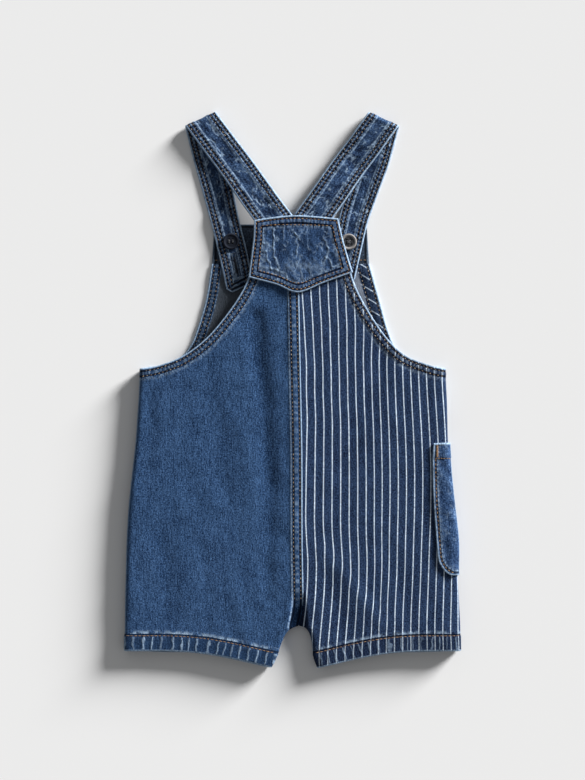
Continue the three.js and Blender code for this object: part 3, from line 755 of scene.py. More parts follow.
@dataclass(frozen=True)
class Denim:
    """Washed indigo twill: colours, unevenness, how its edges are worn, and painted shade in its stitch
    furrows and deep folds.
    """

    name: str
    dark: Colour
    light: Colour
    worn: Colour = (0.36, 0.49, 0.65)
    faded: Colour = (0.13, 0.23, 0.39)
    wrong: Colour | None = None
    cloth: Cloth = Cloth.PLAIN
    speckle: float = 0.95
    slub: float = 0.52
    mottle: float = 0.20
    salt: float = 0.42
    wear: float = 0.0
    veins: float = 0.0
    crease_mark: bool = False
    bands: tuple[Band, ...] = ()
    facing: float = 0.0
    stripe: Colour = (0.66, 0.78, 0.92)

    def build(self) -> bpy.types.Material:
        """Makes the material from noise along and across the cloth, wear and sewn edges.

        Returns:
            The material.
        """
        shop = Shop(self.name)
        across, along, relief = shop.attribute("weave")
        scratch_and_shade = shop.noise(shop.vector(across / 1.2, along / 1.5, 23.0), 2.0)
        # Painted shade: the pale break-up is held down in the deepest troughs and the low place between the
        # legs
        scratch_and_shade = scratch_and_shade - 2.5 * relief.step(-1.2, -2.4)
        tone = self.tone(shop, across, along, relief)
        colour = shop.mix(tone.held(), self.dark, self.light)
        if self.wear:
            colour = shop.mix((tone - 0.72).step(0.0, 0.75) * self.wear, colour, self.faded)
        if self.veins:
            veins = self.vein(shop, across, along) * (0.75 + 0.5 * scratch_and_shade)
            colour = shop.mix(veins.held() * self.veins, colour, self.worn)
        salt = shop.noise(shop.vector(across / 0.75, along / 0.95, 61.0), 1.0).step(0.25, 0.8)
        colour = shop.mix(salt * self.salt, colour, self.faded)
        height = self.twill(shop, across, along)
        if self.cloth is Cloth.PINSTRIPE:
            colour = self.pinstripes(shop, colour, along)
        for band in self.bands:
            colour, height = self.sewn_edge(shop, band, colour, height, scratch_and_shade)
        if self.crease_mark:
            creased = shop.number("crease") * (0.65 + 0.6 * scratch_and_shade)
            colour = shop.mix(creased.held() * 0.9, colour, tuple(0.75 * v for v in self.worn))
        if self.wrong:
            colour = self.wrong_side(shop, colour, across, along)
        return shop.finish(colour, 0.95, height, 0.00020, {"Specular IOR Level": 0.10})

    def tone(self, shop: Shop, across: Wire, along: Wire, relief: Wire) -> Wire:
        """Share of the light colour: speckle, slubs along the cloth, mottling, and fold height, which pales
        worn ridges and darkens troughs, partly as unworn dye and partly as painted shade.

        Args:
            shop: Maker of the nodes.
            across: Place across the cloth.
            along: Place along it.
            relief: Height of the cloth's folds.

        Returns:
            The share, not yet held between 0 and 1.
        """
        speckle = shop.noise(shop.vector(across / 1.05, along / 1.25), 2.0, 0.6)
        slub = shop.noise(shop.vector(across / 1.1, along / 7.5, 3.0), 2.0)
        streak = shop.noise(shop.vector(across / 3.5, along / 60.0, 5.0), 2.0)
        mottle = shop.noise(shop.vector(across / 11.0, along / 19.0, 7.0), 4.0, 0.62)
        fine = self.speckle * speckle + self.slub * slub + 0.16 * streak
        # 0.22·relief: paler worn ridges; darker troughs, partly unworn dye and partly painted shade;
        # darkest, as painted shade, in the low place between the legs
        return 0.5 + fine + self.mottle * mottle + 0.22 * relief

    def vein(self, shop: Shop, across: Wire, along: Wire) -> Wire:
        """Thin crooked pale lines, where one noise passes through its middle and another allows.

        Args:
            shop: Maker of the nodes.
            across: Place across the cloth.
            along: Place along it.

        Returns:
            How far each place belongs to a line.
        """
        path = shop.noise(shop.vector(across / 6.0, along / 9.0, 11.0), 2.5)
        where = shop.noise(shop.vector(across / 7.0, along / 9.0, 17.0), 1.0)
        return abs(path).step(0.15, 0.02) * where.step(0.0, 0.45)

    def twill(self, shop: Shop, across: Wire, along: Wire) -> Wire:
        """Height of the weave: slanted ribs of 0.6 mm, and thick and thin yarns.

        Args:
            shop: Maker of the nodes.
            across: Place across the cloth.
            along: Place along it.

        Returns:
            The height.
        """
        ribs = ((across * 0.8 + along * 0.6) * (2 * np.pi / 0.62)).math("SINE")
        yarns = shop.noise(shop.vector(across / 0.9, along / 3.0, 31.0), 2.0)
        return 0.30 * ribs + 0.9 * yarns

    def pinstripes(self, shop: Shop, colour: Wire, along: Wire) -> Wire:
        """Pale lines at whole numbers of the stripe count, beaded along their length.

        Args:
            shop: Maker of the nodes.
            colour: Colour of the cloth so far.
            along: Place along the cloth.

        Returns:
            The colour with its stripes.
        """
        face, pitch, back = shop.attribute("stripe")
        count = face + (back - face) * shop.number("inside")
        away = abs((count + 0.5).math("FRACT") - 0.5) * pitch
        beads = shop.noise(shop.vector(count / 0.4, along / 1.3, 41.0), 1.0)
        return shop.mix(away.step(0.52, 0.26) * (0.80 + 0.45 * beads), colour, self.stripe)

    def sewn_edge(
        self, shop: Shop, band: Band, colour: Wire, height: Wire, scratch_and_shade: Wire
    ) -> tuple[Wire, Wire]:
        """Pale edge, puckers, stitch grooves darkened with painted shade, and pale ridge of one band.

        Args:
            shop: Maker of the nodes.
            band: Sizes of the band.
            colour: Colour of the cloth so far.
            height: Height of the weave so far.
            scratch_and_shade: Fine break-up of the worn places, held down in the deepest troughs as painted
                shade.

        Returns:
            The new colour and the new height.
        """
        phase, away, _ = shop.attribute(band.mark)
        if band.depth:
            deep = away.between(band.edge, band.depth, 0.6)
            colour = shop.mix(deep * band.dye, colour, tuple(0.6 * v for v in self.dark))
        if band.rungs[1]:
            peak = abs(phase.math("FRACT") - 0.5).step(band.rung_width * 1.8, band.rung_width * 0.5)
            count = {"W": phase.math("FLOOR")}
            which = shop.node("ShaderNodeTexWhiteNoise", {"noise_dimensions": "1D"}, count, "Value")
            rungs = peak * (0.4 + 0.6 * which) * away.between(*band.rungs, 0.9) * (0.8 + 0.5 * scratch_and_shade)
            colour = shop.mix(rungs.held() * band.rung_pale, colour, self.worn)
            height = height + rungs
        if band.flecks[1]:
            fleck = shop.noise(shop.vector(phase * 1.9, away / 4.0, 47.0), 2.0).step(-0.35, 0.45)
            low, high = band.flecks
            flecks = fleck * away.step(low, low + 0.5) * away.step(high, low)
            colour = shop.mix(flecks * band.fleck_pale, colour, self.worn)
        if band.ridge:
            ridge = away.line(band.ridge, 0.2, 0.7) * (0.5 + 0.9 * scratch_and_shade)
            colour = shop.mix(ridge.held() * 0.75, colour, self.worn)
        # Each stitch row: a furrow pressed into the height and darkened with painted shade
        for row in band.rows:
            shaded_groove = away.line(row, 0.55, 0.45)
            colour = shop.mix(shaded_groove * band.shaded_groove, colour, tuple(0.4 * v for v in self.dark))
            height = height - 1.5 * shaded_groove
        edge = away.step(band.edge + 0.4, band.edge - 0.4) * (0.78 + 0.55 * scratch_and_shade)
        return shop.mix(edge.held() * band.pale_edge, colour, self.worn), height

    def wrong_side(self, shop: Shop, colour: Wire, across: Wire, along: Wire) -> Wire:
        """Pale grey inside of the cloth, except on a facing that is turned in along the rim.

        Args:
            shop: Maker of the nodes.
            colour: Colour of the cloth so far.
            across: Place across the cloth.
            along: Place along it.

        Returns:
            The colour of both sides.
        """
        weft = shop.noise(shop.vector(across / 0.9, along / 3.5, 53.0), 2.0)
        inside = shop.number("inside")
        if self.facing:
            _, away, _ = shop.attribute("rim")
            inside = inside * away.step(self.facing - 0.2, self.facing + 0.2)
        grey = shop.mix((0.5 + 0.6 * weft).held(), tuple(0.5 * v for v in self.wrong), self.wrong)
        return shop.mix(inside, colour, grey)


@dataclass(frozen=True)
class Plastic:
    """Button plastic: a rim and a middle of two colours, meeting at a radius."""

    name: str
    rim: Colour
    middle: Colour
    meet: float
    rough: float = 0.62

    def build(self) -> bpy.types.Material:
        """Makes the material: cloudy colour, and a bump of fine turning marks and of the top's height.

        Returns:
            The material.
        """
        shop = Shop(self.name)
        radius, turn, high = shop.attribute("turned")
        cloud = shop.noise(shop.vector(radius / 2.2, turn * 4.0, 5.0), 3.0)
        share = radius.step(self.meet - 0.35, self.meet + 0.35)
        colour = shop.mix(share, self.middle, self.rim)
        paler = tuple(min(1.0, 1.5 * v + 0.01) for v in self.rim)
        colour = shop.mix((0.16 * cloud + 0.08).held(), colour, paler)
        marks = shop.noise(shop.vector(radius / 0.22, turn * 1.5, 9.0), 1.0)
        height, gloss = marks + 0.4 * high, {"Specular IOR Level": 0.15}
        return shop.finish(colour, self.rough + 0.08 * cloud, height, 0.00003, gloss)


@dataclass(frozen=True)
class Yarn:
    """Sewing thread: a colour that darkens in places, with a twist."""

    name: str
    light: Colour
    dark: Colour
    share: float = 0.5

    def build(self) -> bpy.types.Material:
        """Makes the material: uneven dye from stitch to stitch and a fine slanted twist.

        Returns:
            The material.
        """
        shop = Shop(self.name)
        place = shop.node("ShaderNodeTexCoord", {}, {}, "Object")
        x, y, z = shop.parts(place)
        dye = shop.noise(shop.vector(x / 0.0021, y / 0.0021, z / 0.0021), 1.0)
        colour = shop.mix((self.share + 0.7 * dye).held(), self.dark, self.light)
        twist = ((x + y) * (2 * np.pi / 0.00045)).math("SINE")
        return shop.finish(colour, 0.8, twist, 0.00004, {"Specular IOR Level": 0.2})


# Sewn edges
HEM = Band(
    "hem", rows=(LEG_HEM,), edge=0.7, rungs=(0.5, 11.2), rung_width=0.08, rung_pale=0.72,
    flecks=(13.0, 16.8), fleck_pale=0.8, depth=12.0, dye=0.5,
)
STRIPED_HEM = Band(
    "hem", rows=(LEG_HEM,), edge=0.6, rungs=(0.5, 11.2), rung_width=0.07, rung_pale=0.45,
    flecks=(13.0, 16.5), fleck_pale=0.65, depth=12.0, dye=0.45,
)
RIM = Band(
    "rim", rows=RIM_ROWS, edge=0.7, rungs=(0.8, 7.0), rung_width=0.2, rung_pale=0.34,
    flecks=(6.8, 10.5), depth=6.8, shaded_groove=0.95,
)
LAP = Band(
    "lap", rows=LAP_ROWS, edge=0.6, rungs=(2.4, 6.2), rung_width=0.17, rung_pale=0.4, ridge=8.3,
    dye=0.1, shaded_groove=1.0,
)
SIDE = Band("side", edge=0.9, pale_edge=0.45)
STRIPED_SIDE = Band("side", edge=0.8, pale_edge=0.05)
PATCH_EDGE = Band(
    "edge", rows=PATCH_ROWS, edge=0.7, rungs=(2.2, 5.3), rung_width=0.22, rung_pale=0.3,
    flecks=(6.4, 10.0), fleck_pale=0.5, shaded_groove=0.92,
)
STRAP_EDGE = Band(
    "edge", rows=STRAP_ROWS, edge=0.6, rungs=(0.6, 7.4), rung_width=0.2, rung_pale=0.5, ridge=7.7,
    shaded_groove=0.95,
)
POCKET_EDGE = Band(
    "edge", rows=(POCKET_ROW,), edge=0.9, rungs=(1.0, 4.4), rung_width=0.2, rung_pale=0.45,
    flecks=(2.6, 6.0),
)
FACING_EDGE = Band("rim", rows=FACING_ROWS, edge=0.7)
BIB_EDGE = Band("edge", rows=(1.8,), edge=0.4, pale_edge=0.3)

# Cloths, each named as its finish
PLAIN = Denim(
    "plain_denim", (0.004, 0.017, 0.052), (0.046, 0.104, 0.226), wrong=(0.12, 0.14, 0.18), wear=0.15,
    bands=(SIDE, HEM, RIM, LAP),
)
PINSTRIPE = Denim(
    "pinstripe_denim", (0.002, 0.006, 0.024), (0.031, 0.060, 0.134), wrong=(0.12, 0.14, 0.18),
    cloth=Cloth.PINSTRIPE, speckle=1.1, slub=0.3, salt=0.22, bands=(STRIPED_SIDE, STRIPED_HEM, RIM),
)
# Front left: its wrong-side grey is darker than the same plain cloth's on the back, as painted shade
PLAIN_INSIDE_SHADED = Denim(
    "plain_denim_inside", (0.008, 0.022, 0.056), (0.044, 0.092, 0.19), wrong=(0.095, 0.115, 0.145),
    bands=(HEM, RIM), facing=8.0,
)
PINSTRIPE_INSIDE = Denim(
    "pinstripe_denim_inside", (0.004, 0.010, 0.028), (0.032, 0.055, 0.11), wrong=(0.22, 0.255, 0.32),
    cloth=Cloth.PINSTRIPE, bands=(STRIPED_HEM, FACING_EDGE), facing=10.0, stripe=(0.50, 0.60, 0.72),
)
BIB_INSIDE = Denim("bib_inside", (0.006, 0.011, 0.020), (0.042, 0.058, 0.086), bands=(BIB_EDGE,))
PATCH = Denim(
    "patch_denim", (0.003, 0.011, 0.036), (0.033, 0.074, 0.168), mottle=0.33, wear=0.32, veins=0.35,
    salt=0.22, faded=(0.15, 0.25, 0.41), crease_mark=True, bands=(PATCH_EDGE,),
)
STRAP = Denim(
    "strap_denim", (0.002, 0.006, 0.024), (0.036, 0.076, 0.166), mottle=0.42, wear=0.6, veins=0.8,
    salt=0.35, faded=(0.17, 0.27, 0.42), bands=(STRAP_EDGE,),
)
POCKET_CLOTH = Denim(
    "pocket_denim", (0.005, 0.018, 0.058), (0.046, 0.095, 0.204), mottle=0.46, wear=0.55, veins=0.22,
    faded=(0.16, 0.26, 0.43), bands=(POCKET_EDGE,),
)

# Buttons and threads
NAVY = Plastic("navy_button", (0.009, 0.012, 0.021), (0.008, 0.011, 0.019), 4.6, 0.85)
GREY = Plastic("grey_button", (0.215, 0.202, 0.195), (0.010, 0.013, 0.020), 4.2, 0.75)
TAN = Yarn("tan_thread", (0.31, 0.19, 0.105), (0.050, 0.034, 0.028), 0.7)
PATCH_THREAD = Yarn("patch_thread", (0.35, 0.21, 0.115), (0.030, 0.022, 0.022), 0.62)
RUST = Yarn("seam_thread", (0.47, 0.36, 0.26), (0.018, 0.018, 0.024), 0.52)
# Near-black yarn of the buttonhole slit: painted shade
DARK_SLIT_SHADE = Yarn("dark_thread", (0.018, 0.022, 0.033), (0.008, 0.009, 0.014))
BUTTON_THREAD = Yarn("button_thread", (0.125, 0.130, 0.145), (0.024, 0.026, 0.034), 0.7)
HOLE_THREAD = Yarn("buttonhole_thread", (0.26, 0.34, 0.44), (0.012, 0.018, 0.034), 0.5)


class Ground:
    """Cloth seen from above, so that thread can be laid on it."""

    def __init__(self, *pieces: bpy.types.Object) -> None:
        """Keeps the faces of the pieces.

        Args:
            *pieces: Cloth that thread can lie on.
        """
        points, faces, start = [], [], 0
        for piece in pieces:
            count = len(piece.data.vertices)
            flat = np.empty(count * 3)
            piece.data.vertices.foreach_get("co", flat)
            points += flat.reshape(-1, 3).tolist()
            faces += [[start + v for v in p.vertices] for p in piece.data.polygons]
            start += count
        self.tree = BVHTree.FromPolygons(points, faces)

    def drop(self, places: np.ndarray) -> tuple[np.ndarray, np.ndarray, np.ndarray]:
        """Lets each place fall on the cloth.

        Args:
            places: Plan places in millimetres.

        Returns:
            The points, the cloth's direction there, and whether anything was hit.
        """
        hits = [self.tree.ray_cast(Vector((x * MM, y * MM, ABOVE)), Vector((0, 0, -1))) for x, y in places]
        found = np.array([hit[0] is not None for hit in hits], bool)
        points = np.array([hit[0] or (0, 0, 0) for hit in hits], float).reshape(-1, 3) / MM
        ups = np.array([hit[1] or (0, 0, 1) for hit in hits], float).reshape(-1, 3)
        return points, ups, found


@dataclass
class Stitching:
    """Rows of thread, joined into one mesh of small bent capsules."""

    name: str
    length: float = 2.35
    radius: float = 0.34
    centres: list = field(default_factory=list)
    alongs: list = field(default_factory=list)
    ups: list = field(default_factory=list)
    lengths: list = field(default_factory=list)

    def add(
        self, centres: np.ndarray, alongs: np.ndarray, ups: np.ndarray, length: float | None = None
    ) -> None:
        """Adds stitches.

        Args:
            centres: Their middles.
            alongs: Their directions.
            ups: The directions out of the cloth.
            length: Their length, where it isn't the usual one.
        """
        self.centres.append(centres)
        self.alongs.append(alongs)
        self.ups.append(ups)
        self.lengths.append(np.full(len(centres), length or self.length))

    def row_on(
        self, ground: Ground, path: np.ndarray, pitch: float = STITCH_PITCH, steepest: float = 1.5
    ) -> None:
        """Lays a row on the cloth below a plan path, with each stitch between two holes.

        Args:
            ground: The cloth.
            path: Plan path in millimetres.
            pitch: Distance from hole to hole.
            steepest: Largest rise from hole to hole that is still sewn.
        """
        run = run_length(path[:, :2])
        count = max(int(run[-1] / pitch), 1)
        holes = np.linspace(0, run[-1], count + 1)
        places = along_path(holes, run, path[:, :2])
        points, _, found = ground.drop(places)
        middle, ups, middle_found = ground.drop((places[1:] + places[:-1]) / 2)
        keep = found[1:] & found[:-1] & middle_found & (np.abs(points[1:, 2] - points[:-1, 2]) < steepest)
        self.add(middle[keep], unit(points[1:] - points[:-1])[keep], ups[keep])

    def row_through(self, points: np.ndarray, ups: np.ndarray, pitch: float = STITCH_PITCH) -> None:
        """Lays a row along points that already lie on the cloth.

        Args:
            points: Points of the row.
            ups: Direction out of the cloth at each.
            pitch: Distance from stitch to stitch.
        """
        run = run_length(points)
        middles = np.arange(pitch / 2, run[-1], pitch)
        before, after = (along_path(middles + step, run, points) for step in (-0.4, 0.4))
        self.add(along_path(middles, run, points), unit(after - before), unit(along_path(middles, run, ups)))

    def build(self, finish: bpy.types.Material) -> bpy.types.Object:
        """Makes the mesh: a hexagon carried along each stitch, which bends down at its ends.

        A ring at t along the stitch has radius r·√(1−(1.9t)⁴) and lies lower by 2.2·r·(2t)⁴.

        Args:
            finish: Material of the thread.

        Returns:
            The joined stitches, riding on the body.
        """
        parts = (self.centres, self.alongs, self.ups)
        centre, along, up = (np.concatenate(rows)[:, None, None, :] for rows in parts)
        length = np.concatenate(self.lengths)[:, None, None, None]
        up = unit(up - along * (up * along).sum(axis=-1, keepdims=True))
        side = np.cross(along, up)
        shares = np.array([-0.5, -0.38, 0.0, 0.38, 0.5])[None, :, None, None]
        turns = (np.arange(6) * np.pi / 3)[None, None, :, None]
        thick = self.radius * np.sqrt(np.clip(1 - (1.9 * shares) ** 4, 0.0, 1.0))
        low = self.radius * (0.25 - 2.2 * (2 * shares) ** 4)
        ring = centre + along * shares * length + up * (low + thick * np.sin(turns))
        ring = ring + side * thick * np.cos(turns)
        tips = ring[:, [0, 4]].mean(axis=2)
        points = np.concatenate([ring[:, 1:4].reshape(len(ring), 18, 3), tips], axis=1)
        k = np.arange(6)
        n = (k + 1) % 6
        quads = [np.stack([s * 6 + k, s * 6 + n, s * 6 + 6 + n, s * 6 + 6 + k], 1) for s in (0, 1)]
        caps = [np.stack([n, k, 0 * k + 18], 1), np.stack([12 + k, 12 + n, 0 * k + 19], 1)]
        shift = (np.arange(len(ring)) * 20)[:, None, None]
        faces = []
        for part in (np.concatenate(quads), np.concatenate(caps)):
            faces += (part[None] + shift).reshape(-1, part.shape[1]).tolist()
        made = new_object(self.name, points.reshape(-1, 3), faces, {}, finish)
        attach(made, BODY)
        return made


def dropped(distance: Field, share: Field) -> Field:
    """How far the cloth has fallen beside a folded edge.

    With lean = (1 − distance / roll)·sin(share·90°), the fall is 1 − (1 − leanᵖ)^(1/p): a quarter of a
    full oval whose power p is ROLL_POWER.

    Args:
        distance: Distances in from the edge.
        share: Share of a full fold at the edge.

    Returns:
        0 on the flat cloth to 1 at the seam.
    """
    lean = (1 - np.minimum(distance / ROLL, 1)) * np.sin(share * np.pi / 2)
    return 1 - (1 - lean**ROLL_POWER) ** (1 / ROLL_POWER)


def curled(t: Field) -> Field:
    """Distance in from an edge at a share t of the curve beside it: roll·(1 − cos(90°·t))."""
    return ROLL * (1 - np.cos(np.clip(t, 0, 1) * np.pi / 2))


def mesh_lines(counts: tuple[int, ...]) -> np.ndarray:
    """Places of the mesh lines, with so many in each whole step."""
    steps = [np.linspace(k, k + 1, count, endpoint=False) for k, count in enumerate(counts)]
    return np.concatenate(steps + [[float(len(counts))]])


@dataclass
class ClothPiece:
    """A cut piece of cloth, with its wall and the points of its middle."""

    finish: Denim
    piece: bpy.types.Object = field(init=False)
    grid: np.ndarray = field(init=False)

    def close(self, node: str, outer: np.ndarray, inner: np.ndarray, marks: Marks) -> bpy.types.Object:
        """Makes the wall and keeps the points of its middle.

        Args:
            node: The solid that it stands for.
            outer: Points of the outer face, (rows, columns, 3).
            inner: Points of the inner face.
            marks: Attributes of the grid.

        Returns:
            The wall.
        """
        self.grid = (outer + inner) / 2
        self.piece = wall(node + "_cloth", outer, inner, marks, self.finish.build())
        return self.piece

    def declare(self, held: Held, on: list[str], trim: list[bpy.types.Object]) -> None:
        """Hides the solid that the cloth stands for, hangs the cloth on the body and logs the size it was
        cut from.

        The flat size is the longest run of cloth across the grid by the longest one along it.

        Args:
            held: How it lies; not used.
            on: Names of what it lies on; not used.
            trim: Thread sewn to it; not used.
        """
        width = np.linalg.norm(np.diff(self.grid, axis=1), axis=-1).sum(axis=1).max() * MM
        length = np.linalg.norm(np.diff(self.grid, axis=0), axis=-1).sum(axis=0).max() * MM
        area = min(cloth_area(self.grid), width * length)
        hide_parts(self.piece.name.removesuffix("_cloth"))
        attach(self.piece, BODY)
        size = (self.piece.name, width / MM, length / MM, area * 1e4)
        LOG.info("%s: cut %.0f by %.0f mm, %.0f square cm", *size)


@dataclass
class Panel(ClothPiece):
    """One of the four body panels.

    Column c runs across it: 0 to 1 the curve in from the side edge, 1 to 2 the middle, 2 to 3 the
    curve down to the seam edge. Row r runs up it: 0 to 1 the leg, 1 to 2 the body, 2 to 3 the armhole.
    """

    side: Side
    face: Face
    columns: tuple[int, int, int]
    rows: tuple[int, int, int]

    @property
    def name(self) -> str:
        """Name of the node that it stands for."""
        return f"{self.face.value}_{self.side.value}"

    @property
    def armholes(self) -> Table:
        """Its armhole from the underarm up."""
        return BACK_ARMHOLES if self.face is Face.BACK else FRONT_ARMHOLES

    @property
    def underarm(self) -> float:
        """Height up the garment at which its armhole starts."""
        return self.armholes.rows[0][1]

    def side_edge(self, r: Field) -> tuple[np.ndarray, np.ndarray]:
        """Side fold, and the armhole's edge above it.

        Args:
            r: Row of each point.

        Returns:
            Plan places, x and y.
        """
        side = self.side.value
        y = np.where(r < 1, mix(SIDES.rows[0][0], LEG_TOP, r), mix(LEG_TOP, self.underarm, r - 1))
        up = np.clip(r - 2, 0, 1)
        x = np.where(r > 2, self.armholes.read(side + "_x", up), SIDES.read(side, y, "y"))
        return x, np.where(r > 2, self.armholes.read(side + "_y", up), y)

    def seam_edge(self, r: Field) -> tuple[np.ndarray, np.ndarray]:
        """Inseam, and the centre seam above it.

        Args:
            r: Row of each point.

        Returns:
            Plan places, x and y.
        """
        side = self.side.value
        half = SEAM_GAP / 2 * (-1 if self.side is Side.LEFT else 1)
        up = np.clip(r - 2, 0, 1)
        low = np.clip(r, 0, 1)
        body = mix(CENTRE.rows[0][0], self.underarm, r - 1)
        y = np.where(r > 2, self.armholes.read(side + "_y", up), body)
        x = CENTRE.read(self.face.value, y, "y")
        x = np.where(r < 1, INSEAMS.read(side + "_x", low), x)
        return x + half, np.where(r < 1, INSEAMS.read(side + "_y", low), y)

    def spread(self, c: Field, r: Field) -> tuple[np.ndarray, ...]:
        """Lays the columns out across the rows.

        Args:
            c: Column of each point.
            r: Row of each point.

        Returns:
            The row's side end and seam end, as x0, y0, x1 and y1, its width, and the point's distance
            in from the side edge.
        """
        x0, y0 = self.side_edge(r)
        x1, y1 = self.seam_edge(r)
        width = np.hypot(x1 - x0, y1 - y0)
        from_side = np.where(c < 1, curled(c), mix(ROLL, width - ROLL, c - 1))
        return x0, y0, x1, y1, width, np.where(c > 2, width - curled(3 - c), from_side)

    def folds(self, r: Field) -> tuple[np.ndarray, np.ndarray]:
        """How far the cloth is folded at the two ends of a row.

        Args:
            r: Row of each point.

        Returns:
            Share of a full fold at the side edge, and at the seam edge.
        """
        free = ARMHOLE_DROOP * (1 - ease((r - 2.6) / 0.25)) if self.face is Face.BACK else 0.0
        at_side = np.where(r > 2, mix(1.0, free, ease((r - 2) / ARMHOLE_BLEND)), 1.0)
        return at_side, np.where(r > 1, 1 - ease((r - 1) / CROTCH_BLEND), 1.0)

    def lift(self, from_side: Field, r: Field) -> Field:
        """Rise of the front panel over the pocket's hidden half.

        Args:
            from_side: Distance in from the side edge.
            r: Row of each point.

        Returns:
            Heights over the surface.
        """
        if self.side is Side.LEFT:
            return 0.0 * r
        y = mix(LEG_TOP, self.underarm, r - 1)
        reach = POCKET_FRONT - ROLL_ARC + ROLL + LIFT_MARGIN + LIFT_RAMP
        rise = ease((reach - from_side) / LIFT_RAMP)
        rise = rise * ease((y - POCKET.rows[0][0] + LIFT_MARGIN + LIFT_RAMP) / LIFT_RAMP)
        rise = rise * ease((POCKET.rows[-1][0] - y + LIFT_MARGIN + LIFT_RAMP) / LIFT_RAMP)
        return np.where(r > 2, 0.0, (DENIM + SEAM_GAP) * rise)

    def base(self, c: Field, r: Field) -> np.ndarray:
        """Face of the cloth that looks away from the body, before its bands and puckers.

        Args:
            c: Column of each point.
            r: Row of each point.

        Returns:
            The points.
        """
        x0, y0, x1, y1, width, from_side = self.spread(c, r)
        along = from_side / width
        x = mix(x0, x1, along)
        bow = HEM_BOW * np.sin(np.pi * along) ** 1.2
        if self.face is Face.FRONT:
            bow = bow - FRONT_HEM_PEEK * np.sin(np.pi * np.clip(along / 0.55, 0, 1)) ** 2
        y = mix(y0, y1, along) + bow * (1 - np.clip(r, 0, 1))
        at_side, at_seam = self.folds(r)
        fallen = np.clip(dropped(from_side, at_side) + dropped(width - from_side, at_seam), 0, 1)
        back = self.face is Face.BACK
        seam = SEAM_HEIGHT + (SEAM_GAP / 2 if back else -SEAM_GAP / 2)
        flat = back_height(x, y) if back else self.lift(from_side, r)
        return np.stack([x, y, mix(flat, seam, fallen)], axis=-1)

    def normal(self, c: Field, r: Field) -> np.ndarray:
        """Direction out of the cloth, from small steps along and across it.

        Args:
            c: Column of each point.
            r: Row of each point.

        Returns:
            Directions of length 1.
        """
        tiny = 2e-3
        across = self.base(np.minimum(c + tiny, 3), r) - self.base(np.maximum(c - tiny, 0), r)
        up = self.base(c, np.minimum(r + tiny, 3)) - self.base(c, np.maximum(r - tiny, 0))
        turned = (self.side is Side.RIGHT) != (self.face is Face.FRONT)
        return unit(np.cross(across, up)) * (-1 if turned else 1)

    def moved(self, c: Field, r: Field, distance: Field) -> np.ndarray:
        """Points moved out of the cloth by a distance."""
        return self.base(c, r) + self.normal(c, r) * np.asarray(distance)[..., None]

    def paths(self) -> Marks:
        """Traces the edges that are sewn or worn.

        Returns:
            Plan paths of its hem, its armhole edge, its side fold and its centre seam, by name.
        """
        share = np.linspace(0, 1, 61)
        return {
            "hem": self.base(3 * share, 0 * share)[:, :2],
            "rim": np.stack(self.side_edge(2 + share), axis=1),
            "side": np.stack(self.side_edge(2 * share), axis=1),
            "lap": np.stack(self.seam_edge(1 + 2 * share), axis=1),
        }

    def marks(self, c: np.ndarray, points: np.ndarray) -> Marks:
        """Attributes of the cloth: edges, weave and stripes.

        Args:
            c: Column of each point.
            points: Points of the cloth's outer face.

        Returns:
            Arrays of three numbers for each point, by name.
        """
        x, y, z = np.moveaxis(points, -1, 0)
        fall = np.maximum(back_height(x, y) - z, 0) if self.face is Face.BACK else z
        outward = np.where(c < 1.5, 1, -1) * (1 if self.side is Side.RIGHT else -1)
        unrolled = x + ROLL_STRETCH * fall * outward
        paths = self.paths()
        seed = {"back_left": 10, "back_right": 20, "front_left": 30, "front_right": 40}[self.name]
        marks = {
            edge: edge_marks(x, y, paths[edge], pitch, seed + 2 * k)
            for k, (edge, pitch) in enumerate(PUCKERS.items())
        }
        # Third number: fold height, kept down to -3 so that the material darkens the low place between the
        # legs as painted shade
        marks["weave"] = np.stack([unrolled, y, np.clip(back_relief(x, y) / 1.6, -3.0, 1.2)], axis=-1)
        marks["stripe"] = self.stripes(unrolled, y)
        marks["hem"][..., 1] = np.where(y > -150, FAR, marks["hem"][..., 1])
        marks["rim"][..., 1] = np.where(y < -20, FAR, marks["rim"][..., 1])
        return marks

    def stripes(self, x: np.ndarray, y: np.ndarray) -> np.ndarray:
        """Stripe count of the face, its pitch, and the count of the wrong side.

        On the back the table's first stripe and pitch are bowed and wavy. The front's stripes are
        straight, and those of its facing slant by 31 degrees.

        Args:
            x: Places across, with the cloth unrolled at the side.
            y: Places along.

        Returns:
            Three numbers for each place.
        """
        if self.face is Face.FRONT:
            straight = (x - STRIPES.rows[0][1]) / FACING_PITCH
            slanted = (0.515 * x + 0.857 * y - 4.6) / FACING_PITCH
            return np.stack([straight, 0 * x + FACING_PITCH, slanted], axis=-1)
        first, pitch, bulge, tuck = (STRIPES.read(name, y, "y") for name in STRIPES.names.split()[1:])
        pull = 0.5 * (DIAGONAL.at(x + 3, y) - DIAGONAL.at(x - 3, y)) + 0.25 * ripple(x * 0.35, y, 40, 77)
        pull = pull + tuck * ease((x - TUCK_FROM) / TUCK_RUN)
        share = np.clip((x - first) / STRIPED_WIDTH, 0, 1)
        count = (x - first - 4 * bulge * share * (1 - share) + pull) / pitch
        return np.stack([count, pitch, count], axis=-1)

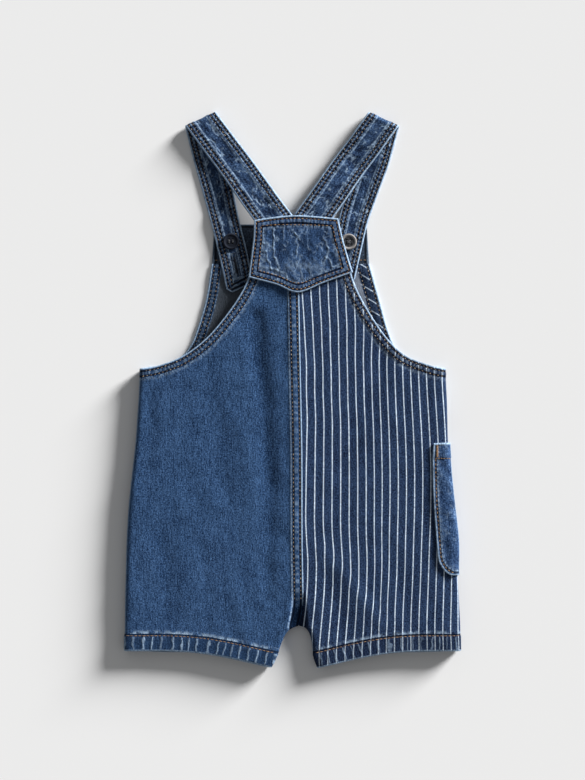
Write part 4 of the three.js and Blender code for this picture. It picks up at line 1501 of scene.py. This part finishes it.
    def raised(self, y: np.ndarray, r: np.ndarray, marks: Marks) -> np.ndarray:
        """Extra height of the turned hems, the lapped seam, the puckers and the stitch grooves.

        Args:
            y: Places along the garment.
            r: Row of each point.
            marks: The panel's marks there.

        Returns:
            Heights in millimetres, out of the cloth.
        """
        hem, rim, lap = (marks[key][..., 1] for key in ("hem", "rim", "lap"))
        pucker = rung(marks["hem"][..., 0], 0.11) * (0.40 if self.side is Side.LEFT else 0.22)
        rise = BAND_RISE * ease((LEG_HEM + 0.6 - hem) / 1.0) + pucker * window(hem, 0.8, 16.0, 3.0)
        rise = rise - grooves(hem, (HEM_FURROW,), 0.40, 0.8)
        armhole = BAND_RISE * ease((ARMHOLE_HEM + 0.6 - rim) / 1.0)
        armhole = armhole + 0.15 * rung(marks["rim"][..., 0], 0.24) * window(rim, 0.6, 9.0, 2.0)
        armhole = armhole - grooves(rim, RIM_ROWS, 0.28, 0.7)
        rise = rise + armhole * ((y > 10) | (r > 2)) * ((r > 2) | (rim < 9))
        if self.name == "back_left":
            flat = 1 - np.sin(self.folds(r)[1] * np.pi / 2)
            band = BAND_RISE * ease((CENTRE_LAP + 0.3 - lap) / 0.9) - grooves(lap, LAP_ROWS, 0.30, 0.7)
            band = band + 0.12 * rung(marks["lap"][..., 0], 0.2) * (lap < 8)
            rise = rise + np.where(r > 1, flat * band * window(lap, -1, CENTRE_LAP + 0.6, 0.6), 0.0)
        return rise

    def build(self) -> bpy.types.Object:
        """Makes the panel.

        Returns:
            Its wall.
        """
        c, r = np.meshgrid(mesh_lines(self.columns), mesh_lines(self.rows))
        outer = self.base(c, r)
        normal = self.normal(c, r)
        marks = self.marks(c, outer)
        rise = self.raised(outer[..., 1], r, marks)
        if self.face is Face.BACK:
            return self.close(self.name, outer + normal * rise[..., None], outer - normal * DENIM, marks)
        uneven = 0.22 * (1 + ripple(outer[..., 0], outer[..., 1], 14, 51))
        inside = outer - normal * (DENIM + np.maximum(rise + uneven, -0.3))[..., None]
        return self.close(self.name, outer, inside, marks)


@dataclass
class Pocket(ClothPiece):
    """Patch pocket that wraps round the right side fold, over the back and under the front."""

    back: Panel
    front: Panel
    across: int = 90
    up: int = 110
    edge_path: np.ndarray = field(init=False)

    def place(self, arc: np.ndarray, r: np.ndarray, distance: np.ndarray) -> np.ndarray:
        """Points on the panels that the pocket lies on, moved out of them.

        Args:
            arc: Length of cloth from the side seam, over the back if positive, else under the front.
            r: Row of each point on the panels.
            distance: How far each point is moved.

        Returns:
            The points.
        """
        reach = np.abs(arc)
        sheets = []
        for panel in (self.back, self.front):
            width = panel.spread(np.ones_like(r), r)[4]
            c = np.where(reach < ROLL_ARC, reach / ROLL_ARC, 1 + (reach - ROLL_ARC) / (width - 2 * ROLL))
            sheets.append(panel.moved(c, r, distance))
        return np.where((arc < 0)[..., None], sheets[1], sheets[0])

    def build(self) -> bpy.types.Object:
        """Makes the pocket, with its hem, its grooves and its soft unevenness.

        Returns:
            Its wall.
        """
        low, high = POCKET.rows[0][0], POCKET.rows[-1][0]
        half = self.across // 2
        share = np.concatenate([np.linspace(-1, 0, half, endpoint=False), np.linspace(0, 1, half)])
        u, y = np.meshgrid(share, mix(low, high, np.linspace(0, 1, self.up)))
        back, front = POCKET.read("back", y, "y"), POCKET.read("front", y, "y")
        arc = np.where(u < 0, u * front, u * back)
        r = 1 + (y - LEG_TOP) / (self.back.underarm - LEG_TOP)
        outline = np.stack([POCKET.read("back", y[:, 0], "y"), y[:, 0]], axis=1)
        outline = np.concatenate([[[-40.0, low]], outline])
        edge = edge_marks(arc, y, outline, 3.4, 61)
        over = ease((arc - 1.5) / 3)
        hem = ease((y - high + POCKET_HEM + 0.6) / 1.0) * ease((arc + 3) / 4)
        rise = BAND_RISE * hem - grooves(high - y, (POCKET_HEM,), 0.32, 0.7) * over
        rise = rise - grooves(edge[..., 1], (POCKET_ROW,), 0.28, 0.7) * over * (y < high - POCKET_HEM)
        rise = rise + (0.20 * ripple(arc, y, 12, 62) + 0.14 * ripple(arc, y, 5, 63) + 0.14) * ease(arc / 6)
        rise = rise * ease((arc + 2) / 4)
        outer = self.place(arc, r, SEAM_GAP + DENIM + rise)
        inner = self.place(arc, r, 0 * rise + SEAM_GAP)
        top = np.abs(y - high)
        edge[..., 1] = np.minimum(edge[..., 1], np.where(top < 1.2, top, FAR))
        fold = np.abs(arc - SIDE_LINE)
        edge[..., 1] = np.minimum(edge[..., 1], np.where(fold < 1.0, fold + 0.5, FAR))
        weave = np.stack([arc, y, 0.6 * ripple(arc, y, 12, 62)], axis=-1)
        self.edge_path = outer[:, -1, :2]
        return self.close("side_pocket", outer, inner, {"edge": edge, "weave": weave})


@dataclass
class Patch(ClothPiece):
    """Shield patch stretched between its four edges, with long worn creases."""

    across: int = 170
    up: int = 130
    creases: tuple[Fold, ...] = tuple(Fold(*row) for row in (
        (-15.2, 125.6, -14.4, 113, 0.7, 1.0, 0.5), (-14.4, 113, -13.4, 103, 0.65, 0.9, -0.4),
        (-13.4, 103, -10.8, 95, 0.8, 1.0, 0.4), (-20.8, 108.4, -15.7, 93.6, 0.75, 1.0, -0.8),
        (-22.2, 114.7, -15.2, 110.9, 1.0, 0.6, 0.6), (-23.5, 122, -22.4, 104, 0.7, 0.5, 0.8),
        (-0.5, 124.8, 6.5, 117.5, 0.7, 0.9, 0.3), (2.7, 122, 3.6, 107.6, 0.7, 0.8, 0.4),
        (-7.4, 126.5, -6.8, 118, 0.6, 0.6, 0.3), (24.6, 120.4, 28.1, 110.9, 0.7, 0.8, -0.6),
        (28.1, 110.9, 26.4, 104, 0.8, 0.9, 0.5), (26.4, 104, 24.6, 93.6, 0.8, 0.8, -0.6),
        (27.7, 103.1, 31.1, 96.2, 0.6, 1.0, 0.2), (31.1, 96.2, 38.5, 98.8, 0.6, 0.8, -0.8),
        (34, 109.2, 37.2, 98.8, 0.6, 0.8, 0.4), (-25.6, 96, -12, 93.2, 1.2, 0.7, 0.8),
        (-11.8, 93.6, -4, 87.5, 1.0, 0.8, 1.2), (6.5, 93.6, 8.2, 85, 0.6, 0.7, 0.3),
        (13, 95, 15, 89, 0.6, 0.6, -0.3), (-3, 96, 20, 95, 3.2, 0.45, 1.0),
    ))
    bald: Fold = Fold(-6, 100, 25, 96, 5.0, 0.5, 1.0)

    def plan(self, u: Field, v: Field) -> tuple[np.ndarray, np.ndarray]:
        """Plan place: the ruled sheets of both pairs of edges, less the sheet of the four corners.

        Args:
            u: Share of the way from the left edge.
            v: Share of the way up.

        Returns:
            Plan places, x and y.
        """
        places = []
        for axis in ("x", "y"):
            left, right = (PATCH_SIDES.read(f"{s}_{axis}", v) for s in ("left", "right"))
            low, top = (PATCH_ENDS.read(f"{s}_{axis}", u) for s in ("low", "top"))
            a, b = PATCH_SIDES.column("left_" + axis)[[0, -1]]
            c, d = PATCH_SIDES.column("right_" + axis)[[0, -1]]
            places.append(mix(left, right, u) + mix(low, top, v) - mix(mix(a, b, v), mix(c, d, v), u))
        return tuple(places)

    def outline(self) -> np.ndarray:
        """Joins its four edges.

        Returns:
            One closed plan path.
        """
        s = np.linspace(0, 1, 40)
        o = 0 * s
        parts = [self.plan(s, o), self.plan(o + 1, s), self.plan(1 - s, o + 1), self.plan(o, 1 - s)]
        return np.concatenate([np.stack(part, axis=1) for part in parts])

    def build(self) -> bpy.types.Object:
        """Makes the patch over the yoke and the strap ends.

        Returns:
            Its wall.
        """
        u, v = np.meshgrid(np.linspace(0, 1, self.across), np.linspace(0, 1, self.up))
        x, y = self.plan(u, v)
        edge = edge_marks(x, y, self.outline(), 3.2, 71)
        away = edge[..., 1]
        off_x, off_y = 0.55 * ripple(x, y, 5.5, 74), 0.55 * ripple(x, y, 5.5, 75)
        crease = sum(fold.at(x + off_x, y + off_y) for fold in self.creases)
        crease = crease * ease((away - 5.4) / 1.6) * (0.8 + 0.35 * ripple(x, y, 4.5, 76))
        rise = 0.40 * crease + 0.20 * ripple(x, y, 14, 72) + 0.13 * ripple(x, y, 5.5, 73)
        rise = rise * ease(away / 6) + 0.14 * rung(edge[..., 0], 0.24) * window(away, 0.6, 7.5, 1.5)
        rise = rise + 0.35 * ease((7.0 - away) / 1.2) - grooves(away, PATCH_ROWS, 0.30, 0.6)
        under = back_height(x, y) + BAND_RISE + SEAM_GAP
        outer = np.stack([x, y, under + PATCH_WALL - 0.2 + rise], axis=-1)
        inner = np.stack([x, y, under], axis=-1)
        worn = 0.6 * ripple(x, y, 14, 72) + self.bald.at(x + off_x, y + 2 * off_y)
        self.close("back_patch", outer, inner, {"edge": edge, "weave": np.stack([x, y, worn], axis=-1)})
        values = np.zeros(len(self.piece.data.vertices), np.float32)
        values[:crease.size] = crease.ravel()
        self.piece.data.attributes.new("crease", "FLOAT", "POINT").data.foreach_set("value", values)
        return self.piece


@dataclass
class Strap(ClothPiece):
    """Double cloth folded over a small roll at the shoulder.

    Its plan is unrolled at the fold: p runs along the fold line and w across it, from the back
    leg, where w is below 0, round the roll to the front leg.
    """

    name: str
    fold: tuple[float, float]
    along: tuple[float, float]
    back: Table
    front: Table
    seed: int
    across: int = 44
    back_up: int = 130
    round_up: int = 20
    front_up: int = 165

    def __post_init__(self) -> None:
        """Unrolls the rows of both legs: each has w, p and the width."""
        self.run = np.array(self.along) / np.hypot(*self.along)
        self.out = np.array([-self.run[1], self.run[0]])
        self.reach = STRAP_RADIUS + STRAP_WALL / 2
        self.turn = np.pi * STRAP_RADIUS
        rows = []
        for table, front in ((self.back, False), (self.front, True)):
            away = np.stack([table.column("x"), table.column("y")], axis=1) - np.array(self.fold)
            q = away @ self.out + self.reach
            w = self.turn - q if front else q
            rows.append(np.stack([w, away @ self.run, table.column("width")], axis=1))
        self.rows = np.concatenate(rows)
        self.start, self.end = self.rows[0, 0], self.rows[-1, 0]

    def width(self, w: Field) -> np.ndarray:
        """Width of the strap, with the two corners of its front end cut off."""
        taper = 1 - 0.35 * np.clip(1 - (self.end - w) / 4, 0, 1)
        return curve(self.rows[:, 0], self.rows[:, 2], w) * taper

    def point(self, w: Field, share: Field, distance: Field) -> np.ndarray:
        """Point of the strip, moved off its middle: a flat leg, a half turn round the roll, a flat leg.

        Args:
            w: Places along the unrolled strap.
            share: Share of the way across it.
            distance: How far the points are moved, towards the top on the back leg.

        Returns:
            The points.
        """
        p = curve(self.rows[:, 0], self.rows[:, 1], w) + self.width(w) * (share - 0.5)
        angle = np.clip(w / self.turn, 0, 1) * np.pi
        radius = STRAP_RADIUS + distance
        q = -self.reach + radius * np.sin(angle) + np.minimum(w, 0) - np.maximum(w - self.turn, 0)
        x = self.fold[0] + p * self.run[0] + q * self.out[0]
        y = self.fold[1] + p * self.run[1] + q * self.out[1]
        t = np.clip(w / (self.start + 16), 0, 1)
        yoke = back_height(x, y) + BAND_RISE - STRAP_WALL / 2
        level = mix(self.reach + STRAP_RADIUS, yoke, ease(t)) - STRAP_SAG * np.sin(np.pi * t) ** 4
        rest = STRAP_WALL / 2 + (DENIM + SEAM_GAP) * ease((BIB_TOP + 13 - y) / 11)
        z = np.where(w < 0, level + distance, self.reach + radius * np.cos(angle))
        return np.stack([x, y, np.where(w > self.turn, rest - distance, z)], axis=-1)

    def relief(self, w: Field, share: Field, edge: np.ndarray) -> np.ndarray:
        """Raised sewn edges, puckers across them, stitch grooves and an uneven channel.

        Args:
            w: Places along the unrolled strap.
            share: Share of the way across it.
            edge: The edge marks there.

        Returns:
            Heights out of the cloth.
        """
        away = edge[..., 1]
        across = (share - 0.5) * self.width(w)
        rise = 0.30 * ease((8.0 - away) / 1.2) + 0.12 * bell((away - 7.7) / 0.8)
        rise = rise - grooves(away, STRAP_ROWS, 0.28, 0.6)
        rise = rise + 0.14 * rung(edge[..., 0], 0.25) * window(away, 0.6, 7.8, 1.2)
        uneven = 0.20 * ripple(across, w, 12, self.seed) + 0.15 * ripple(across, w, 5.0, self.seed + 1)
        return rise + uneven * ease(away / 3)

    def edge_marks(self, w: Field, share: Field) -> np.ndarray:
        """Marks of the nearest long edge or of the front end.

        Args:
            w: Places along the unrolled strap.
            share: Share of the way across it.

        Returns:
            Pucker phase, distance in from the edge, and length along it.
        """
        across = np.minimum(share, 1 - share) * self.width(w)
        away = np.minimum(across, np.where(w > self.end - 14, (self.end - w) * 0.96, FAR))
        phase = rung_phase(w + 100 * (share > 0.5), away, 3.0, self.seed + 2)
        return np.stack([phase, away, w], axis=-1)

    def build(self) -> bpy.types.Object:
        """Makes the strap, whose face that lies on the floor or the bib stays smooth.

        Returns:
            Its wall.
        """
        lengths = np.concatenate([
            np.linspace(self.start, 0, self.back_up, endpoint=False),
            np.linspace(0, self.turn, self.round_up, endpoint=False),
            np.linspace(self.turn, self.end, self.front_up),
        ])
        share, w = np.meshgrid(np.linspace(0, 1, self.across), lengths)
        edge = self.edge_marks(w, share)
        rise = self.relief(w, share, edge)
        on_top = 1 - ease((w - self.turn * 0.6) / 4)
        outer = self.point(w, share, STRAP_WALL / 2 - 0.1 + rise * on_top)
        inner = self.point(w, share, -STRAP_WALL / 2 + 0.1 - rise * ease((w - self.turn * 0.4) / 4))
        across = (share - 0.5) * self.width(w)
        weave = np.stack([across + 50 * self.seed, w, 0.6 * ripple(across, w, 12, self.seed)], axis=-1)
        return self.close(self.name, outer, inner, {"edge": edge, "weave": weave})

    def sew(self, thread: Stitching) -> None:
        """Lays two rows of stitches beside each long edge, on the face that is seen from above.

        Args:
            thread: Stitches to add to.
        """
        for away in STRAP_ROWS:
            for right in (False, True):
                self.sew_row(thread, away, right)

    def sew_row(self, thread: Stitching, away: float, right: bool) -> None:
        """Lays one row, in two runs that meet in the shoulder fold.

        Args:
            thread: Stitches to add to.
            away: Distance in from the edge.
            right: Whether the edge is the one at the end of the strap's width.
        """
        runs = ((self.start, self.turn * 0.6, 1), (self.turn * 0.75, self.end - 2, -1))
        for low, high, sign in runs:
            w = np.arange(low, high, 0.8)
            share = away / self.width(w)
            share = 1 - share if right else share
            relief = self.relief(w, share, self.edge_marks(w, share))
            height = sign * (STRAP_WALL / 2 - 0.1 + relief)
            points = self.point(w, share, height)
            ups = unit(self.point(w, share, height + sign * 0.2) - points)
            thread.row_through(points, ups)


@dataclass
class Buttonhole:
    """Spare buttonhole in the front leg of a strap: a dark capsule of painted shade as its slit, inside a
    ring of close stitches.
    """

    strap: Strap
    low: float = 7.6
    high: float = 26.6
    half: float = 1.35
    pitch: float = 0.8

    def place(self, w: np.ndarray, across: Field) -> tuple[np.ndarray, np.ndarray]:
        """Points on the seen face of the strap, and the directions out of it.

        Args:
            w: Places along the unrolled strap.
            across: Places across it, from its middle.

        Returns:
            Points and directions, one row each.
        """
        share = 0.5 + across / self.strap.width(w)
        height = -(STRAP_WALL / 2 - 0.1 + self.strap.relief(w, share, self.strap.edge_marks(w, share)))
        points = self.strap.point(w, share, height)
        return points, unit(self.strap.point(w, share, height - 0.2) - points)

    def build(self) -> list[bpy.types.Object]:
        """Makes the buttonhole.

        Returns:
            The ring of stitches and the dark capsule of painted shade in the slit.
        """
        start, end = self.strap.end - self.high, self.strap.end - self.low
        ring = Stitching("spare_buttonhole_thread", length=1.5, radius=0.33)
        for side in (-1, 1):
            w = np.arange(start, end, self.pitch) + 0.2 * side
            points, ups = self.place(w, 0 * w + side * self.half)
            inner, _ = self.place(w, 0 * w + side * (self.half - 0.5))
            ring.add(points, unit(points - inner), ups)
        across = np.linspace(-self.half, self.half, 4)
        for w in (start - 0.6, end + 0.4):
            points, ups = self.place(w + 0 * across, across)
            ahead, _ = self.place(w + 0.5 + 0 * across, across)
            ring.add(points, unit(ahead - points), ups)
        # Painted shade: a near-black capsule stands in for the shadowed gap of the slit
        slit = Stitching("spare_buttonhole_slit_shade", radius=0.62)
        middle = np.array([(start + end) / 2])
        points, ups = self.place(middle, 0 * middle)
        ahead, _ = self.place(middle + 0.5, 0 * middle)
        slit.add(points + ups * 0.1, unit(ahead - points), ups, end - start - 1.0)
        return [ring.build(HOLE_THREAD.build()), slit.build(DARK_SLIT_SHADE.build())]


@dataclass
class Bib(ClothPiece):
    """Inside of the bib, flat on the surface, with a groove along its top and sides."""

    bottom_y: float = 98.7
    top: tuple[float, float] = (-60.8, 57.7)
    low: tuple[float, float] = (-62.8, 59.7)
    across: int = 120
    up: int = 34

    def build(self) -> bpy.types.Object:
        """Makes the bib, whose inside is the face that is seen.

        Returns:
            Its wall.
        """
        u, v = np.meshgrid(np.linspace(0, 1, self.across), np.linspace(0, 1, self.up))
        x = mix(mix(self.low[0], self.top[0], v), mix(self.low[1], self.top[1], v), u)
        y = mix(self.bottom_y, BIB_TOP, v)
        away = np.minimum(BIB_TOP - y, np.minimum(x - self.top[0] + 1, self.top[1] + 1 - x))
        edge = np.stack([x / 3.2, np.maximum(away, 0), x], axis=-1)
        uneven = 0.14 * (1 + ripple(x, y, 13, 81)) * ease(away / 3)
        uneven = uneven - grooves(away, BIB_EDGE.rows, 0.15, 0.7)
        outer = np.stack([x, y, 0 * x], axis=-1)
        inner = np.stack([x, y, DENIM - 0.1 + np.minimum(uneven, 0.26)], axis=-1)
        return self.close("bib", inner, outer, {"edge": edge, "weave": outer})


@dataclass
class Button:
    """Round four-hole button with a rounded rim, a dished middle and its sewing."""

    node: str
    x: float
    y: float
    finish: Plastic
    crossed: bool
    base: float = DENIM + SEAM_GAP + STRAP_WALL + SEAM_GAP
    hole: float = 0.75
    step: float = 1.45
    profile: tuple = (
        (0.02, 0.0), (3.0, 0.0), (5.3, 0.0), (5.75, 0.1), (6.1, 0.45), (6.35, 0.95), (6.4, 1.3), (6.3, 1.75),
        (6.05, 2.15), (5.65, 2.38), (5.2, 2.36), (4.8, 2.15), (4.45, 1.85), (4.1, 1.72), (3.4, 1.70),
        (2.6, 1.70), (1.8, 1.70), (1.0, 1.70), (0.02, 1.70),
    )
    rings: int = 120
    facets: int = 112
    piece: bpy.types.Object = field(init=False)

    def build(self) -> bpy.types.Object:
        """Makes a turned solid whose top face dips steeply in four round wells.

        Returns:
            The button.
        """
        rows = np.array(self.profile)
        run = run_length(rows)
        at = np.linspace(0, run[-1], self.rings)
        radius, z = (curve(run, rows[:, k], at)[:, None] for k in (0, 1))
        turn = np.linspace(0, 2 * np.pi, self.facets, endpoint=False)[None]
        x, y = radius * np.cos(turn), radius * np.sin(turn)
        near = np.hypot(np.abs(x) - self.step, np.abs(y) - self.step)
        top = (at[:, None] > run[-1] / 2) & (radius < 4.0)
        well = 1.45 * ease((self.hole + 0.12 - near) / 0.24) * top
        high = z + 0 * turn - well
        points = np.stack([x + self.x, y + self.y, high + self.base], axis=-1)
        count, around = high.shape
        number = np.arange(count * around).reshape(count, around)
        ahead = np.roll(number, -1, axis=1)
        quads = np.stack([number[:-1], ahead[:-1], ahead[1:], number[1:]], -1).reshape(-1, 4).tolist()
        poles = points[[0, -1]].mean(axis=1)
        faces = quads + np.stack([ahead[0], number[0], 0 * number[0] + count * around], 1).tolist()
        faces += np.stack([number[-1], ahead[-1], 0 * number[0] + count * around + 1], 1).tolist()
        marks = np.stack([radius + 0 * turn, turn + 0 * radius, high / 2.4], axis=-1).reshape(-1, 3)
        marks = np.concatenate([marks, [[0, 0, 0], [0, 0, 0.7]]])
        corners = np.concatenate([points.reshape(-1, 3), poles])
        name, finish = self.node + "_turned", self.finish.build()
        self.piece = new_object(name, corners, faces, {"turned": marks}, finish)
        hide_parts(self.node)
        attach(self.piece, BODY)
        return self.piece

    def sew(self, thread: Stitching) -> None:
        """Lays the strands between the holes: crossed, or two side by side.

        Args:
            thread: Stitches to add to.
        """
        s = self.step
        crossed = [((-s, -s), (s, s)), ((-s, s), (s, -s))]
        straight = [((-s, -s), (-s, s)), ((s, -s), (s, s))]
        for start, end in crossed if self.crossed else straight:
            start, end = np.array(start), np.array(end)
            side = unit(np.array([[start[1] - end[1], end[0] - start[0]]]))[0]
            for shift in (-0.24, 0.24):
                middle = (start + end) / 2 + side * shift + np.array([self.x, self.y])
                centre = np.array([[middle[0], middle[1], self.base + 1.95]])
                along = unit(np.array([[end[0] - start[0], end[1] - start[1], 0.0]]))
                thread.add(centre, along, np.array([[0, 0, 1.0]]), float(np.hypot(*(end - start))) + 0.3)


@dataclass
class Stage:
    """Pale floor, low soft sun from the upper right, weak pale fill and the camera straight above."""

    floor: float = 0.80
    floor_half: float = 6.0
    floor_level: float = -0.0002
    fill: float = 0.245
    sun: float = 9.45
    elevation: float = 15.3
    bearing: float = 50.0
    softness: float = 20.0
    camera_height: float = 3.0
    seen_height: float = 0.6084
    garment_level: float = 0.010

    def build(self) -> None:
        """Makes the floor, the light and the camera."""
        mesh = bpy.data.meshes.new("floor")
        half = self.floor_half
        corners = ((-half, -half), (half, -half), (half, half), (-half, half))
        mesh.from_pydata([(x, y, self.floor_level) for x, y in corners], [], [(0, 1, 2, 3)])
        ground = bpy.data.objects.new("floor", mesh)
        bpy.context.scene.collection.objects.link(ground)
        shop = Shop("floor")
        grain = shop.noise(shop.node("ShaderNodeTexCoord", {}, {}, "Object"), 2.0)
        colour = shop.mix((0.5 + 0.3 * grain).held(), (self.floor,) * 3, (self.floor * 1.01,) * 3)
        mesh.materials.append(shop.finish(colour, 0.9, None, 0.0, {"Specular IOR Level": 0.1}))
        self.light()
        self.camera()

    def light(self) -> None:
        """Soft sun and pale world; the picture's colours aren't remapped."""
        scene = bpy.context.scene
        scene.view_settings.view_transform = "Standard"
        scene.view_settings.look = "None"
        world = bpy.data.worlds.new("studio")
        world.use_nodes = True
        background = world.node_tree.nodes["Background"]
        background.inputs["Color"].default_value = (0.98, 0.99, 1.0, 1.0)
        background.inputs["Strength"].default_value = self.fill
        scene.world = world
        sun = bpy.data.lights.new("window", "SUN")
        sun.energy = self.sun
        sun.angle = np.radians(self.softness)
        sun.color = (1.0, 0.996, 0.99)
        lamp = bpy.data.objects.new("window", sun)
        low, turn = np.radians(self.elevation), np.radians(self.bearing)
        towards = Vector((np.sin(turn) * np.cos(low), np.cos(turn) * np.cos(low), np.sin(low)))
        lamp.rotation_euler = towards.to_track_quat("Z", "Y").to_euler()
        lamp.location = towards * 2
        scene.collection.objects.link(lamp)

    def camera(self) -> None:
        """Camera straight above, whose picture is as tall as the seen height at the garment's level."""
        data = bpy.data.cameras.new("above")
        data.sensor_fit = "VERTICAL"
        data.sensor_height = 24.0
        data.lens = 24.0 * (self.camera_height - self.garment_level) / self.seen_height
        above = bpy.data.objects.new("above", data)
        above.location = (0.0, 0.0, self.camera_height)
        bpy.context.scene.collection.objects.link(above)
        bpy.context.scene.camera = above


@dataclass
class Shortalls:
    """The whole garment, built piece by piece and then sewn."""

    panels: dict[str, Panel] = field(default_factory=dict)
    pocket: Pocket = field(init=False)
    bib: Bib = field(init=False)
    patch: Patch = field(init=False)
    straps: list[Strap] = field(init=False)
    buttons: list[Button] = field(init=False)

    def build_panels(self) -> None:
        """Two backs and two fronts."""
        fine, coarse = ((11, 92, 11), (34, 96, 190)), ((8, 48, 8), (16, 40, 100))
        cuts = (
            (PLAIN, Side.LEFT, Face.BACK, *fine),
            (PINSTRIPE, Side.RIGHT, Face.BACK, *fine),
            (PLAIN_INSIDE_SHADED, Side.LEFT, Face.FRONT, *coarse),
            (PINSTRIPE_INSIDE, Side.RIGHT, Face.FRONT, *coarse),
        )
        for cut in cuts:
            panel = Panel(*cut)
            panel.build()
            self.panels[panel.name] = panel
            LOG.info("%s: %d faces", panel.piece.name, len(panel.piece.data.polygons))

    def build_parts(self) -> None:
        """Pocket, bib, patch, straps and buttons."""
        self.pocket = Pocket(POCKET_CLOTH, self.panels["back_right"], self.panels["front_right"])
        self.bib = Bib(BIB_INSIDE)
        self.patch = Patch(PATCH)
        left, right = (STRAP_LEFT_BACK, STRAP_LEFT_FRONT), (STRAP_RIGHT_BACK, STRAP_RIGHT_FRONT)
        self.straps = [
            Strap(STRAP, "strap_left", (-72.4, 211.9), (0.907, 0.42), *left, seed=91),
            Strap(STRAP, "strap_right", (72.3, 211.6), (0.91, -0.415), *right, seed=95),
        ]
        self.buttons = [
            Button("button_left", -48.1, 116.1, NAVY, crossed=False),
            Button("button_right", 43.9, 115.8, GREY, crossed=True),
        ]
        for part in (self.pocket, self.bib, self.patch, *self.straps, *self.buttons):
            part.build()
            LOG.info("%s: %d faces", part.piece.name, len(part.piece.data.polygons))

    def sew_panels(self, tan: bpy.types.Material, rust: bpy.types.Material) -> dict[str, list]:
        """Lays rows of stitches on each panel's hem, armhole and lapped seam.

        Args:
            tan: Thread of the hems.
            rust: Thread of the armholes and the lapped seam.

        Returns:
            Pieces of thread, by the piece of cloth that they are sewn to.
        """
        made = {}
        for name, panel in self.panels.items():
            hems = Stitching(name + "_hem_thread", length=3.25, radius=0.27)
            seams = Stitching(name + "_thread", length=1.6, radius=0.30)
            ground, paths = Ground(panel.piece), panel.paths()
            inside = (-60.0, -80.0) if panel.side is Side.LEFT else (60.0, -80.0)
            hems.row_on(ground, inset(paths["hem"][3:-3], HEM_THREAD, inside))
            for away in FACING_ROWS if name == "front_right" else RIM_ROWS:
                seams.row_on(ground, inset(paths["rim"], away, (0.0, 0.0)))
            if name == "back_left":
                for away in LAP_ROWS:
                    seams.row_on(ground, inset(paths["lap"][3:], away, (-60.0, 0.0)))
            made[name] = [hems.build(tan), seams.build(rust)]
        return made

    def sew_parts(self, tan: bpy.types.Material, rust: bpy.types.Material) -> dict[str, list]:
        """Lays thread on the patch, straps, pocket, bib and buttons.

        Args:
            tan: Thread of the pocket and the bib.
            rust: Thread of the straps.

        Returns:
            Pieces of thread, by what they are sewn to.
        """
        made = {}
        patch = Stitching("patch_thread", radius=0.32)
        ground = Ground(self.patch.piece)
        s = np.linspace(0, 1, 90)
        for away in PATCH_ROWS:
            left, low = away / 75.0 + 0 * s, away / 50.0 + 0 * s
            across, up = mix(left, 1 - left, s), mix(low, 1 - low, s)
            for u, v in ((across, low), (across, 1 - low), (left, up), (1 - left, up)):
                patch.row_on(ground, np.stack(self.patch.plan(u, v), axis=1))
        made["back_patch"] = [patch.build(PATCH_THREAD.build())]
        for strap in self.straps:
            rows = Stitching(strap.name + "_thread", length=1.6, radius=0.30)
            strap.sew(rows)
            made[strap.name] = [rows.build(rust)]
        made["spare_hole"] = Buttonhole(self.straps[0]).build()
        pocket = Stitching("pocket_thread")
        ground = Ground(self.pocket.piece)
        high = POCKET.rows[-1][0]
        hem = high - POCKET_HEM
        pocket.row_on(ground, np.array([[104.4, hem], [125.4, hem - 0.4]]), pitch=2.1, steepest=4.0)
        path = self.pocket.edge_path
        path = path[path[:, 1] < hem]
        pocket.row_on(ground, inset(path, POCKET_ROW, (120.0, -100.0)))
        self.bar_tack(pocket, ground)
        made["side_pocket"] = [pocket.build(tan)]
        bib = Stitching("bib_thread")
        ground = Ground(self.bib.piece)
        bib.row_on(ground, np.array([[-61.0, BIB_THREAD_Y], [58.0, BIB_THREAD_Y]]))
        made["bib"] = [bib.build(tan)]
        sewing = Stitching("button_thread", radius=0.26)
        for button in self.buttons:
            button.sew(sewing)
        made["buttons"] = [sewing.build(BUTTON_THREAD.build())]
        for group, pieces in made.items():
            for piece in pieces:
                "dark_thread" if group in ("buttons", "spare_hole") else "tan_thread"
        return made

    def bar_tack(self, thread: Stitching, ground: Ground) -> None:
        """Lays a close upright bar of short cross stitches near the pocket's top.

        Args:
            thread: Stitches to add to.
            ground: The pocket's cloth.
        """
        y = np.arange(-52.0, -42.8, 0.44)
        points, ups, _ = ground.drop(np.stack([0 * y + 112.7, y], axis=1))
        thread.add(points, np.tile([1.0, 0.0, 0.0], (len(y), 1)), ups, 2.3)

    def declare_cloth(self, threads: dict[str, list]) -> None:
        """Hides each cloth piece's solid, hangs the piece on the body and logs its cut size.

        Args:
            threads: Pieces of thread, by the piece of cloth that they are sewn to.
        """
        backs = ["back_left_cloth", "back_right_cloth"]
        for name, panel in self.panels.items():
            under = [f"front_{panel.side.value}_cloth"] if panel.face is Face.BACK else []
            panel.declare(Held.LAID, under, threads[name])
        self.pocket.declare(Held.FOLDED, backs[1:], threads["side_pocket"])
        self.bib.declare(Held.LAID, [], threads["bib"])
        self.patch.declare(Held.LAID, backs, threads["back_patch"])
        for strap in self.straps:
            strap.declare(Held.FOLDED, ["bib_cloth"], threads[strap.name])


def main() -> None:
    """Builds the stage and the garment in order, and reports each piece."""
    logging.basicConfig(level=logging.INFO, format="%(name)s: %(message)s")
    Stage().build()
    garment = Shortalls()
    garment.build_panels()
    garment.build_parts()
    tan, rust = TAN.build(), RUST.build()
    threads = garment.sew_panels(tan, rust) | garment.sew_parts(tan, rust)
    garment.declare_cloth(threads)


if __name__ == "__main__":
    main()
